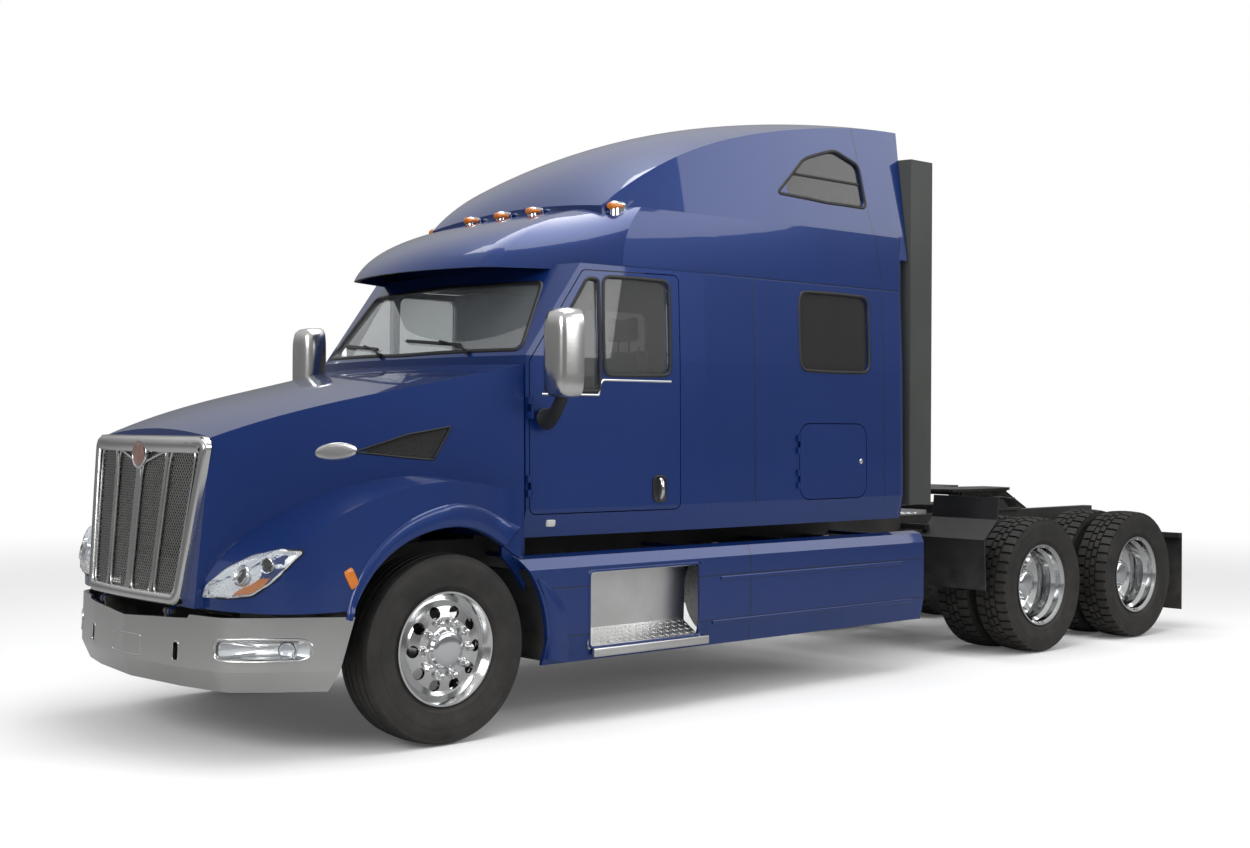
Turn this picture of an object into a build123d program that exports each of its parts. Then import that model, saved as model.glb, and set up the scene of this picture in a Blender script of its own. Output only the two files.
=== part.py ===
"""Conventional highway tractor with a raised-roof sleeper cab, three axles and twin drive tyres.

Millimetres, +Z up.  The tractor faces -Y, +X is its left (driver's) side, and the origin is on
the ground under the middle of its length.  aft(d) is the place d behind the front axle.
"""
import os
from math import hypot

from build123d import *

os.makedirs("parts", exist_ok=True)

# ---------------------------------------------------------------- overall
front_overhang = 1240.0  # bumper face to front axle
first_axle_base = 5340.0  # front axle to first drive axle
tandem_spacing = 1320.0  # between the drive axles
rear_overhang = 710.0  # last axle to the mud flaps
overall_length = front_overhang + first_axle_base + tandem_spacing + rear_overhang
front_axle_y = front_overhang - overall_length / 2


def aft(distance):
    """The Y of a place this far behind the front axle."""
    return front_axle_y + distance


drive_axle_ys = (aft(first_axle_base), aft(first_axle_base + tandem_spacing))
rear_y = overall_length / 2

# ---------------------------------------------------------------- clearances and walls
seat_gap = 0.3  # a pane, pin or knuckle to its seat
panel_gap = 6.0  # shut line round a door, a hatch or the hood
wall = 50.0  # thickness of the cab, the sleeper, the roof and their doors
hood_wall = 30.0
bumper_wall = 18.0
glass_inset = 14.0  # glass behind the outer skin
glass_thickness = 8.0

# ---------------------------------------------------------------- wheels
tyre_radius = 500.0
tyre_width = 280.0
bead_radius = 286.0
flange_radius = 298.0
rim_half_width = 117.0
flange_thickness = 12.0
steer_tyre_x = 1037.0  # centre of a front tyre
twin_mid_x = 914.5  # between the two tyres of a drive pair
twin_spacing = 343.0
hub_radius = 108.0
spindle_radius = 40.0
hand_hole_radius = 32.0
hand_hole_circle = 197.0
hand_hole_count = 10
kingpin_x = 870.0
kingpin_radius = 25.0
kingpin_eye_radius = 55.0
kingpin_eye_height = 120.0

# ---------------------------------------------------------------- frame
rail_outer_x = 430.0
rail_flange = 85.0
rail_web = 9.0
rail_height = 270.0
rail_top_z = 1000.0
rail_bottom_z = rail_top_z - rail_height
rail_inner_x = rail_outer_x - rail_flange
rail_front_y = aft(-1060.0)
rail_rear_y = rear_y - 120.0

# ---------------------------------------------------------------- hood and its hinge
hood_pivot_y = aft(-1167.0)
hood_pivot_z = 715.0
hood_pin_radius = 12.0
hood_eye_radius = 18.0
hood_eye_x = 400.0
hood_rear_y = aft(450.0)
hood_slope = 0.215  # rise over run of the hood's crown
hood_crown_z = 1921.0  # over the front axle
arch_radius = 635.0
fender_x = 1200.0
fender_bottom_z = 745.0

# ---------------------------------------------------------------- cab, sleeper and roof
cab_bottom_z = 1045.0
cab_top_z = 2585.0
cowl_z = 2050.0
screen_rake = 0.73  # run over rise of the windshield
cab_rear_y = aft(1915.0)
sleeper_rear_y = aft(3870.0)
door_front_y = aft(620.0)
door_rear_y = aft(1710.0)
door_bottom_z = 1175.0
door_top_z = 2555.0
door_hinge_x = 1080.0
hatch_front_y = aft(2754.0)
hatch_rear_y = aft(3409.0)
hatch_bottom_z = 1200.0
hatch_top_z = 1680.0
hatch_hinge_x = 1134.0
ledge_z = 2950.0  # the roof's ledge, where the marker lamps stand
visor_rear_y = aft(1020.0)
roof_top_z = 3800.0

# ---------------------------------------------------------------- fifth wheel
kingpin_y = aft(5750.0)
plate_top_z = 1180.0
plate_thickness = 20.0
plate_pivot_y = aft(5900.0)
plate_pivot_z = 1085.0
plate_pin_radius = 20.0
lock_bore_radius = 25.45  # round a 50.8 mm kingpin
lock_bore_length = 60.0


# ---------------------------------------------------------------- sketch planes and common shapes
def cross_plane(y):
    """Across the tractor at y: sketches are drawn in (x, z), and the normal is -Y."""
    return Plane(origin=(0, y, 0), x_dir=(1, 0, 0), z_dir=(0, -1, 0))


def side_plane(x):
    """Along the tractor at x: sketches are drawn in (y, z), and the normal is +X."""
    return Plane(origin=(x, 0, 0), x_dir=(0, 1, 0), z_dir=(1, 0, 0))


def block(x, y, z):
    """A box from its low and high value on each axis."""
    with BuildPart() as made:
        with BuildSketch(Plane.XY.offset(z[0])):
            with Locations(((x[0] + x[1]) / 2, (y[0] + y[1]) / 2)):
                Rectangle(x[1] - x[0], y[1] - y[0])
        extrude(amount=z[1] - z[0])
    return made.part


def side_prism(outline, x_low, x_high, radius=0.0):
    """A (y, z) outline with rounded corners, from x_low to x_high."""
    with BuildPart() as made:
        with BuildSketch(side_plane(x_low)) as drawn:
            with BuildLine():
                Polyline(*outline, close=True)
            make_face()
            if radius:
                fillet(drawn.vertices(), radius)
        extrude(amount=x_high - x_low)
    return made.part


def cross_prism(outline, y_low, y_high, radius=0.0):
    """An (x, z) outline with rounded corners, from y_low to y_high."""
    with BuildPart() as made:
        with BuildSketch(cross_plane(y_high)) as drawn:
            with BuildLine():
                Polyline(*outline, close=True)
            make_face()
            if radius:
                fillet(drawn.vertices(), radius)
        extrude(amount=y_high - y_low)
    return made.part


def plan_prism(outline, z_low, z_high, radius=0.0):
    """An (x, y) outline with rounded corners, from z_low to z_high."""
    with BuildPart() as made:
        with BuildSketch(Plane.XY.offset(z_low)) as drawn:
            with BuildLine():
                Polyline(*outline, close=True)
            make_face()
            if radius:
                fillet(drawn.vertices(), radius)
        extrude(amount=z_high - z_low)
    return made.part


def rod(start, end, radius):
    """A round bar between two points."""
    axis = Vector(*end) - Vector(*start)
    with BuildPart() as made:
        with BuildSketch(Plane(origin=start, z_dir=axis.normalized())):
            Circle(radius)
        extrude(amount=axis.length)
    return made.part


def joined(*pieces):
    """One part of all the pieces."""
    with BuildPart() as made:
        for piece in pieces:
            add(piece)
    return made.part


def cut(body, *tools):
    """The body without the tools."""
    with BuildPart() as made:
        add(body)
        for tool in tools:
            add(tool, mode=Mode.SUBTRACT)
    return made.part


def shared(body, tool):
    """What the body and the tool have in common."""
    with BuildPart() as made:
        add(body)
        add(tool, mode=Mode.INTERSECT)
    return made.part


def other_side(piece):
    """The mirror image across the tractor's middle."""
    return mirror(piece, about=Plane.YZ)


def both_sides(piece):
    """A left piece and its mirror image."""
    return joined(piece, other_side(piece))


def moved_in(outline, amount):
    """A closed outline with each of its edges moved inwards by amount."""
    after = outline[1:] + outline[:1]
    turn = 1 if sum(u * w - x * v for (u, v), (x, w) in zip(outline, after)) > 0 else -1
    normals = []
    for (u, v), (x, w) in zip(outline, after):
        length = hypot(x - u, w - v)
        normals.append((turn * (v - w) / length, turn * (x - u) / length))
    moved = []
    for (u, v), (a, b), (c, d) in zip(outline, normals[-1:] + normals[:-1], normals):
        share = amount / (1 + a * c + b * d)
        moved.append((u + share * (a + c), v + share * (b + d)))
    return moved


def save(name, piece):
    """Labels a finished piece and writes its STEP file."""
    piece.label = name
    export_step(piece, f"parts/{name}.step")


# ---------------------------------------------------------------- wheels, turned about X
def turned(outline, y):
    """A wheel part at an axle, from a closed outline of (x, radius) points."""
    with BuildPart() as made:
        with BuildSketch(Plane(origin=(0, y, tyre_radius), x_dir=(1, 0, 0), z_dir=(0, -1, 0))):
            with BuildLine():
                Polyline(*outline, close=True)
            make_face()
        revolve(axis=Axis((0, y, tyre_radius), (1, 0, 0)))
    return made.part


def tyre(centre_x, y):
    """A road tyre whose tread and sidewalls are arcs."""
    half = tyre_width / 2
    bead = bead_radius + seat_gap
    bead_half = rim_half_width - flange_thickness - seat_gap
    with BuildPart() as made:
        with BuildSketch(Plane(origin=(centre_x, y, tyre_radius), x_dir=(1, 0, 0), z_dir=(0, -1, 0))):
            with BuildLine():
                Line((-bead_half, bead), (bead_half, bead))
                Line((bead_half, bead), (bead_half, flange_radius + 8))
                ThreePointArc((bead_half, flange_radius + 8), (half, 400), (half - 14, 478))
                ThreePointArc((half - 14, 478), (half - 18, 489), (half - 32, 493))
                ThreePointArc((half - 32, 493), (0, tyre_radius), (32 - half, 493))
                ThreePointArc((32 - half, 493), (18 - half, 489), (14 - half, 478))
                ThreePointArc((14 - half, 478), (-half, 400), (-bead_half, flange_radius + 8))
                Line((-bead_half, flange_radius + 8), (-bead_half, bead))
            make_face()
        revolve(axis=Axis((0, y, tyre_radius), (1, 0, 0)))
    return made.part


# (distance out from the rim's middle, radius) along the tyre's side of the barrel
barrel = (
    (-117, 298), (-105, 298), (-105, 286), (-45, 282), (-25, 262),
    (25, 262), (45, 282), (105, 286), (105, 298), (117, 298),
)


def hand_holes(x_low, x_high, y):
    """The ring of hand holes through a wheel's disc."""
    with BuildPart() as made:
        with BuildSketch(Plane(origin=(x_low, y, tyre_radius), x_dir=(0, 1, 0), z_dir=(1, 0, 0))):
            with PolarLocations(hand_hole_circle, hand_hole_count):
                Circle(hand_hole_radius)
        extrude(amount=x_high - x_low)
    return made.part


def front_rim(y):
    """A steered wheel: its disc bulges out, and the hub and its cap are part of it."""
    bore = spindle_radius + seat_gap
    outline = [(steer_tyre_x + x, r) for x, r in barrel]
    # (distance out from the rim's middle, radius): face, hub cap, bore, back, inside of the barrel
    inside = (
        (117, 288), (98, 274), (62, 250), (92, 222), (104, 165), (104, hub_radius),
        (128, 92), (136, 60), (138, 0), (118, 0), (118, bore), (-75, bore), (-75, hub_radius),
        (84, hub_radius), (84, 160), (74, 214), (44, 240), (30, 250), (-30, 250), (-50, 270),
        (-105, 274), (-117, 288),
    )
    outline += [(steer_tyre_x + x, r) for x, r in inside]
    return cut(turned(outline, y), hand_holes(steer_tyre_x + 60, steer_tyre_x + 120, y))


def drive_rims(y):
    """A twin pair: two dished rims back to back on one hub, with the brake drum behind."""
    bore = spindle_radius + seat_gap
    middle = twin_spacing / 2
    outer = [(twin_mid_x + middle + x, r) for x, r in barrel]
    inner = [(twin_mid_x - middle - x, r) for x, r in reversed(barrel)]
    # (distance out from between the rims, radius): inside of the outer rim, disc, hub and its cap
    front = (
        (288.5, 288), (270, 274), (226, 270), (200, 250), (140, 250), (112, 262), (78, 262),
        (36, 232), (16, 205), (14, hub_radius + 40), (14, hub_radius), (70, hub_radius), (150, 88),
        (168, 60), (172, 0), (140, 0), (140, bore),
    )
    # (distance in from between the rims, radius): bore, drum, disc, inside of the inner rim
    back = (
        (230, bore), (230, 205), (30, 205), (40, 232), (82, 262), (112, 262), (140, 250),
        (200, 250), (226, 270), (270, 274), (288.5, 288),
    )
    # (distance out from between the rims, radius): the groove between the two barrels
    groove = ((-54.5, 282), (-30, 255), (0, 222), (30, 255), (54.5, 282))
    outline = outer + [(twin_mid_x + x, r) for x, r in front]
    outline += [(twin_mid_x - x, r) for x, r in back] + inner
    outline += [(twin_mid_x + x, r) for x, r in groove]
    return cut(turned(outline, y), hand_holes(twin_mid_x + 8, twin_mid_x + 60, y))


front_tyre_left = tyre(steer_tyre_x, front_axle_y)
front_rim_left = front_rim(front_axle_y)
save("front_tyre_left", front_tyre_left)
save("front_tyre_right", other_side(front_tyre_left))
save("front_rim_left", front_rim_left)
save("front_rim_right", other_side(front_rim_left))
for number, y in enumerate(drive_axle_ys, 1):
    twin_tyres = joined(
        tyre(twin_mid_x + twin_spacing / 2, y), tyre(twin_mid_x - twin_spacing / 2, y)
    )
    twin_rims = drive_rims(y)
    save(f"drive_tyres_{number}_left", twin_tyres)
    save(f"drive_tyres_{number}_right", other_side(twin_tyres))
    save(f"drive_rims_{number}_left", twin_rims)
    save(f"drive_rims_{number}_right", other_side(twin_rims))

# ---------------------------------------------------------------- front axle and steering
eye_low_z = tyre_radius - kingpin_eye_height / 2
eye_high_z = tyre_radius + kingpin_eye_height / 2
beam_half_width = 45.0
beam_top_z = 470.0
beam_depth = 90.0
spring_x = (rail_inner_x, rail_outer_x - 5)
spring_half_length = 750.0
leaf_thickness = 60.0
leaf_end_thickness = 26.0


def leaf_spring():
    """A cambered leaf pack on its axle pad, hung from the rail at both ends."""
    pad_z = beam_top_z + 30
    end_z = rail_bottom_z - 30
    front = front_axle_y - spring_half_length
    rear = front_axle_y + spring_half_length
    with BuildPart() as made:
        with BuildSketch(side_plane(spring_x[0])):
            with BuildLine():
                ThreePointArc((front, end_z - leaf_end_thickness), (front_axle_y, pad_z),
                              (rear, end_z - leaf_end_thickness))
                Line((rear, end_z - leaf_end_thickness), (rear, end_z))
                ThreePointArc((rear, end_z), (front_axle_y, pad_z + leaf_thickness), (front, end_z))
                Line((front, end_z), (front, end_z - leaf_end_thickness))
            make_face()
        extrude(amount=spring_x[1] - spring_x[0])
    pad = block(spring_x, (front_axle_y - 110, front_axle_y + 110), (beam_top_z - 10, pad_z + 10))
    hangers = [
        block(spring_x, (y - 45, y + 45), (end_z - leaf_end_thickness - 20, rail_bottom_z))
        for y in (front, rear)
    ]
    return joined(made.part, pad, *hangers)


def front_axle():
    """The dropped beam with an eye for each kingpin, and the two leaf packs that carry it."""
    beam_bottom_z = beam_top_z - beam_depth
    reach = kingpin_x - 20
    half = [(reach, eye_high_z - 15), (770, eye_high_z - 15), (600, beam_top_z)]
    half_low = [(620, beam_bottom_z), (780, eye_low_z + 15), (reach, eye_low_z + 15)]
    outline = half + [(-x, z) for x, z in reversed(half)]
    outline += [(-x, z) for x, z in reversed(half_low)] + half_low
    beam = cross_prism(outline, front_axle_y - beam_half_width, front_axle_y + beam_half_width)
    centre = (kingpin_x, front_axle_y)
    eye = rod((*centre, eye_low_z), (*centre, eye_high_z), kingpin_eye_radius)
    bore = rod((*centre, eye_low_z - 1), (*centre, eye_high_z + 1), kingpin_radius + seat_gap)
    whole = joined(beam, both_sides(eye), both_sides(leaf_spring()))
    return cut(whole, both_sides(bore))


def knuckle():
    """The left steering knuckle: two ears on the kingpin, a back plate and the wheel spindle."""
    hub_back_x = steer_tyre_x - 75
    plate = (kingpin_x + kingpin_eye_radius + 7, hub_back_x - 6)
    ear = 34.0
    ear_radius = 48.0
    pieces = []
    for low in (eye_high_z + 2, eye_low_z - 2 - ear):
        pieces.append(rod((kingpin_x, front_axle_y, low), (kingpin_x, front_axle_y, low + ear), ear_radius))
        pieces.append(block((kingpin_x, plate[1]), (front_axle_y - ear_radius, front_axle_y + ear_radius),
                            (low, low + ear)))
    pieces.append(block(plate, (front_axle_y - 60, front_axle_y + 60),
                        (eye_low_z - 2 - ear, eye_high_z + 2 + ear)))
    pieces.append(rod((kingpin_x, front_axle_y, eye_low_z - ear), (kingpin_x, front_axle_y, eye_high_z + ear),
                      kingpin_radius))
    pieces.append(rod((plate[0], front_axle_y, tyre_radius),
                      (steer_tyre_x + 112, front_axle_y, tyre_radius), spindle_radius))
    return joined(*pieces)


# ---------------------------------------------------------------- drive axles and suspension
housing_radius = 70.0
bowl_radius = 195.0
propeller_radius = 48.0
gearbox_tail = (0, aft(1500.0), 690.0)


def drive_housing(y):
    """One drive axle housing with its bowl, spindles and brake plates."""
    # (distance from the middle, radius)
    half = ((1048, 0), (1048, spindle_radius), (672, spindle_radius), (672, 190), (655, 190),
            (655, housing_radius), (240, housing_radius), (130, bowl_radius))
    outline = list(half) + [(-x, r) for x, r in reversed(half)]
    nose = rod((0, y, tyre_radius), (0, y - 360, tyre_radius + 25), 95)
    return joined(turned(outline, y), nose)


def drive_axles():
    """Both housings, and the shafts from the gearbox to the first and on to the second."""
    first, second = drive_axle_ys
    bearing = (0, aft(3300.0), 640.0)
    hanger = block((-60, 60), (bearing[1] - 25, bearing[1] + 25), (bearing[2] - 70, 790))
    shafts = (
        rod((0, gearbox_tail[1] + 1.6, gearbox_tail[2]), bearing, propeller_radius),
        rod(bearing, (0, first - 340, tyre_radius + 25), propeller_radius),
        rod((0, first, tyre_radius + 40), (0, second - 340, tyre_radius + 25), propeller_radius),
    )
    return joined(drive_housing(first), drive_housing(second), hanger, *shafts)


def suspension_corner(y):
    """One trailing arm under the housing, its hanger and its air spring, on the left side."""
    arm_x = (rail_inner_x + 5, rail_outer_x - 5)
    seat_z = tyre_radius - housing_radius
    outline = [(y - 500, 640), (y - 520, 570), (y - 110, seat_z - 60), (y + 110, seat_z - 60),
               (y + 450, 440), (y + 450, 480), (y + 110, seat_z), (y - 110, seat_z), (y - 420, 640)]
    arm = side_prism(outline, *arm_x)
    hanger = block(arm_x, (y - 500, y - 420), (600, rail_bottom_z))
    bag = rod((sum(arm_x) / 2, y + 330, 455), (sum(arm_x) / 2, y + 330, rail_bottom_z), 115)
    return joined(arm, hanger, bag)


# ---------------------------------------------------------------- bumper, as levels from below
def bumper_volume(inset):
    """The space inside the bumper's outer face, moved in by inset; open at the back."""
    # (z, how far the face stands in)
    levels = ((345.0, 45.0), (450.0, 0.0), (715.0, 8.0))
    half = ((490, -1190), (840, -1116), (985, -930), (1210, -580), (1210, -500))
    outline = [(-x, aft(y)) for x, y in reversed(half)] + [(0, aft(-1240))]
    outline += [(x, aft(y)) for x, y in half]
    over = 1.0 if inset else 0.0
    corner = 200.0
    with BuildPart() as made:
        for number, (z, lean) in enumerate(levels):
            z += over * (number - 1)
            with BuildSketch(Plane.XY.offset(z)) as drawn:
                with BuildLine():
                    Polyline(*moved_in(outline, lean + inset), close=True)
                make_face()
                fillet([v for v in drawn.vertices() if 750 < abs(v.X) < 1050], corner - lean - inset)
        loft(ruled=True)
    return made.part


fog_outline = [(785, 505), (1085, 505), (1085, 605), (785, 605)]


def front_bumper():
    """A bright pressed bumper with tow slots, lamp recesses and raked ends."""
    shell = cut(bumper_volume(0), bumper_volume(bumper_wall))
    ends = side_prism([(aft(-560), 730), (aft(-578), 730), (aft(-676), 330), (aft(-400), 330),
                       (aft(-400), 730)], -1300, 1300)
    top = cross_prism([(-600, 730), (-575, 697), (0, 668), (575, 697), (600, 730)],
                      aft(-1300), aft(-1000))
    slot = cross_prism([(468, 480), (512, 480), (512, 570), (468, 570)], aft(-1300), aft(-1100), 18)
    lamp = cross_prism(fog_outline, aft(-1250), aft(-700), 40)
    return cut(shell, ends, top, both_sides(slot), both_sides(lamp))


def fog_lamps():
    """A clear lamp in each recess of the bumper."""
    skin = cut(bumper_volume(6), bumper_volume(bumper_wall))
    opening = cross_prism(moved_in(fog_outline, seat_gap), aft(-1250), aft(-700), 40)
    return shared(skin, both_sides(opening))


# ---------------------------------------------------------------- frame
def cross_member(y):
    """A channel across the frame, open to the rear."""
    depth = 40.0
    low = rail_bottom_z + 60
    high = rail_top_z - 60
    outline = [(y - depth, low), (y + depth, low), (y + depth, low + rail_web),
               (y - depth + rail_web, low + rail_web), (y - depth + rail_web, high - rail_web),
               (y + depth, high - rail_web), (y + depth, high), (y - depth, high)]
    return side_prism(outline, rail_web - rail_outer_x, rail_outer_x - rail_web)


def frame_rails():
    """Two channel rails, their cross members, the bumper brackets and the hood's hinge pins."""
    outline = [(rail_outer_x, rail_bottom_z), (rail_inner_x, rail_bottom_z),
               (rail_inner_x, rail_bottom_z + rail_web),
               (rail_outer_x - rail_web, rail_bottom_z + rail_web),
               (rail_outer_x - rail_web, rail_top_z - rail_web), (rail_inner_x, rail_top_z - rail_web),
               (rail_inner_x, rail_top_z), (rail_outer_x, rail_top_z)]
    rail = cross_prism(outline, rail_front_y, rail_rear_y)
    members = [cross_member(aft(d)) for d in (-960, 1720, 2500, 3300, 4200, 4990, 6000, 7180)]
    bracket = shared(block((350, 372), (aft(-1230), rail_front_y + 60), (470, rail_bottom_z)),
                     bumper_volume(bumper_wall + seat_gap))
    ear = side_prism([(hood_pivot_y, hood_pivot_z - hood_eye_radius),
                      (rail_front_y + 40, hood_pivot_z - hood_eye_radius), (rail_front_y + 40, 790),
                      (rail_front_y + 5, 790), (rail_front_y - 40, hood_pivot_z + hood_eye_radius),
                      (hood_pivot_y, hood_pivot_z + hood_eye_radius)],
                     hood_eye_x - 50, hood_eye_x - 28)
    eye = rod((hood_eye_x - 50, hood_pivot_y, hood_pivot_z), (hood_eye_x - 28, hood_pivot_y, hood_pivot_z),
              hood_eye_radius)
    pin = rod((hood_eye_x - 50, hood_pivot_y, hood_pivot_z), (hood_eye_x + 26, hood_pivot_y, hood_pivot_z),
              hood_pin_radius)
    cab_mounts = [block((rail_inner_x, rail_outer_x), (aft(y - 60), aft(y + 60)), (rail_top_z, cab_bottom_z))
                  for y in (760, 1700, 2300, 3650)]
    return joined(both_sides(rail), *members, both_sides(joined(bracket, ear, eye, pin)),
                  *[both_sides(mount) for mount in cab_mounts])


def engine():
    """One plain block for the engine, resting on the rails, with its gearbox behind it."""
    body = block((-300, 300), (aft(-680), aft(420)), (640, 1480))
    feet = [
        block((290, rail_outer_x - 20), (aft(y - 60), aft(y + 60)), (rail_top_z, rail_top_z + 40))
        for y in (-500, 260)
    ]
    gearbox = [
        rod((0, aft(420), 800), (0, aft(760), 800), 220),
        block((-190, 190), (aft(740), aft(1380)), (590, 960)),
        rod((0, aft(1380), gearbox_tail[2]), gearbox_tail, 90),
    ]
    return joined(body, *gearbox, *[both_sides(foot) for foot in feet])


def radiator():
    """The radiator core with its side tanks, on the first cross member."""
    core = block((-420, 420), (aft(-880), aft(-800)), (rail_top_z + 12, 1500))
    tanks = block((420, 480), (aft(-895), aft(-785)), (rail_top_z + 12, 1500))
    feet = block((350, 420), (aft(-880), aft(-800)), (rail_top_z, rail_top_z + 12))
    return joined(core, both_sides(tanks), both_sides(feet))


save("front_axle", front_axle())
knuckle_left = knuckle()
save("knuckle_left", knuckle_left)
save("knuckle_right", other_side(knuckle_left))
save("drive_axles", drive_axles())
save("rear_suspension", joined(*[both_sides(suspension_corner(y)) for y in drive_axle_ys]))
save("front_bumper", front_bumper())
save("fog_lamps", fog_lamps())
save("frame_rails", frame_rails())
save("engine", engine())
save("radiator", radiator())

# ---------------------------------------------------------------- cab and sleeper
# (z, half width at the cab's rear)
cab_levels = (
    (cab_bottom_z, 1098.0),
    (1200.0, 1126.0),
    (cowl_z, 1116.0),
    (cab_top_z, 1096.0),
)
cab_flare = 0.05  # how fast the cab's flat sides close in towards its nose
cab_nose_y = aft(460.0)  # middle of the cowl
cab_corner_y = aft(600.0)  # foot of the windshield post
cab_corner_radius = 60.0
sleeper_corner_radius = 110.0


def cab_volume(inset, ahead=0.0):
    """The space inside the cab's outer skin moved in by inset, open at its top and rear.

    Its sides may run on ahead of the windshield posts, which leaves a skin with no front wall.
    """
    over = 1.0 if inset else 0.0
    back = 1.2 * inset - ahead
    top_z = cab_top_z + over
    length = cab_rear_y + over - cab_nose_y + ahead
    side = [(x, z) for z, x in cab_levels[:-1]] + [(cab_levels[-1][1], cab_top_z + over + inset)]
    outline = moved_in([(-600, cab_bottom_z), *side, (-600, cab_top_z + over + inset)], inset)
    with BuildPart() as left_half:
        with BuildSketch(cross_plane(cab_rear_y + over)):
            with BuildLine():
                Polyline(*outline, close=True)
            make_face()
        extrude(amount=length * hypot(cab_flare, 1), dir=(-cab_flare, -1, 0))
    corner = (1250.0, cab_corner_y + back + 45)
    with BuildPart() as nose:
        with BuildSketch(Plane.XY.offset(cab_bottom_z)) as plan:
            with BuildLine():
                ThreePointArc((-corner[0], corner[1]), (0, cab_nose_y + back), corner)
                Polyline(corner, (corner[0], cab_rear_y + 9), (-corner[0], cab_rear_y + 9),
                         (-corner[0], corner[1]))
            make_face()
        extrude(amount=cowl_z - cab_bottom_z)
        with BuildSketch(Plane.XY.offset(cowl_z)):
            add(plan.sketch.moved(Location((0, 0, cowl_z - cab_bottom_z))))
        extrude(amount=(top_z - cowl_z) * hypot(screen_rake, 1), dir=(0, screen_rake, 1))
    return shared(joined(left_half.part, other_side(left_half.part)), nose.part)


def sleeper_volume(inset):
    """The space inside the sleeper's outer skin moved in by inset, open at its top and front."""
    over = 1.0 if inset else 0.0
    with BuildPart() as made:
        for z, rear_x in cab_levels:
            level = cab_bottom_z + inset if z == cab_bottom_z else z
            level += over if z == cab_top_z else 0.0
            half = rear_x - inset
            with BuildSketch(Plane.XY.offset(level)) as drawn:
                with BuildLine():
                    Polyline((-half, cab_rear_y - over), (half, cab_rear_y - over),
                             (half, sleeper_rear_y - inset), (-half, sleeper_rear_y - inset), close=True)
                make_face()
                rear = drawn.vertices().sort_by(Axis.Y)[-2:]
                fillet(rear, max(sleeper_corner_radius - inset, 8.0))
        loft(ruled=True)
    return made.part


cab_outer = cab_volume(0)
cab_shell_whole = cut(cab_outer, cab_volume(wall))
glass_layer = cut(cab_volume(glass_inset), cab_volume(glass_inset + glass_thickness))

door_outline = [(door_front_y, door_bottom_z), (door_front_y, 2020), (aft(1000), door_top_z - 10),
                (door_rear_y, door_top_z), (door_rear_y, door_bottom_z)]
vent_outline = [(aft(735), 1860), (aft(735), 2040), (aft(1025), 2490), (aft(1105), 2490), (aft(1105), 1870)]
side_window_outline = [(aft(1150), 1960), (aft(1150), 2510), (aft(1630), 2510), (aft(1630), 1970)]
screen_outline = [(-985, 2085), (985, 2085), (850, 2478), (-850, 2478)]
side_reach = (800, 1300)  # an X range that cuts one side wall
screen_reach = (aft(300), aft(1150))


def hinge(x, y, z, skin_x, pin_radius=9.0, knuckle=40.0):
    """A three-knuckle hinge on an upright axis: the part on the body and the part on the door."""
    gap = seat_gap
    tops = (z - 1.5 * knuckle, z - 0.5 * knuckle, z + 0.5 * knuckle)
    fixed = []
    for low in (tops[0], tops[2]):
        fixed.append(rod((x, y, low + gap), (x, y, low + knuckle), pin_radius))
        fixed.append(block((skin_x - 18, x + 3), (y - 30, y - panel_gap), (low + gap, low + knuckle)))
        fixed.append(block((x - 4, x + 3), (y - 8, y), (low + gap, low + knuckle)))
    moving = [
        rod((x, y, tops[1] + gap), (x, y, tops[2]), pin_radius),
        block((skin_x - 18, x + 3), (y + 2, y + 32), (tops[1] + gap, tops[2])),
    ]
    return joined(*fixed), joined(*moving)


def clear_column(x, y, z, height, radius):
    """Room for a hinge's knuckles in the edge beside it."""
    return rod((x, y, z - height / 2), (x, y, z + height / 2), radius)


door_hinges = [hinge(door_hinge_x, door_front_y, z, 1060) for z in (1330, 1760)]
door_opening = cut(
    side_prism(moved_in(door_outline, -panel_gap), *side_reach, 46), cab_volume(wall + panel_gap, 250.0)
)
door_panel = cut(
    shared(cab_outer, side_prism(door_outline, *side_reach, 40)), cab_volume(wall, 250.0)
)
vent_hole = side_prism(vent_outline, *side_reach, 25)
side_window_hole = side_prism(side_window_outline, *side_reach, 50)
knuckle_room = [
    clear_column(door_hinge_x, door_front_y, z, 3 * 40 + 4, 9 + 1.5) for z in (1330, 1760)
]
door_left = joined(
    cut(door_panel, vent_hole, side_window_hole, *knuckle_room), *[moving for fixed, moving in door_hinges]
)
door_left = cut(door_left, *[joined(fixed) for fixed, moving in door_hinges])
door_glass_left = joined(
    shared(glass_layer, side_prism(moved_in(vent_outline, seat_gap), *side_reach, 25)),
    shared(glass_layer, side_prism(moved_in(side_window_outline, seat_gap), *side_reach, 50)),
)
screen_hole = cross_prism(screen_outline, *screen_reach, 45)
cab_shell = cut(
    cab_shell_whole, both_sides(door_opening), screen_hole,
)
cab_shell = joined(cab_shell, *[both_sides(fixed) for fixed, moving in door_hinges])
windshield = shared(glass_layer, cross_prism(moved_in(screen_outline, seat_gap), *screen_reach, 45))

save("cab_shell", cab_shell)
save("windshield", windshield)
save("door_left", door_left)
save("door_right", other_side(door_left))
save("door_glass_left", door_glass_left)
save("door_glass_right", other_side(door_glass_left))

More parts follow.
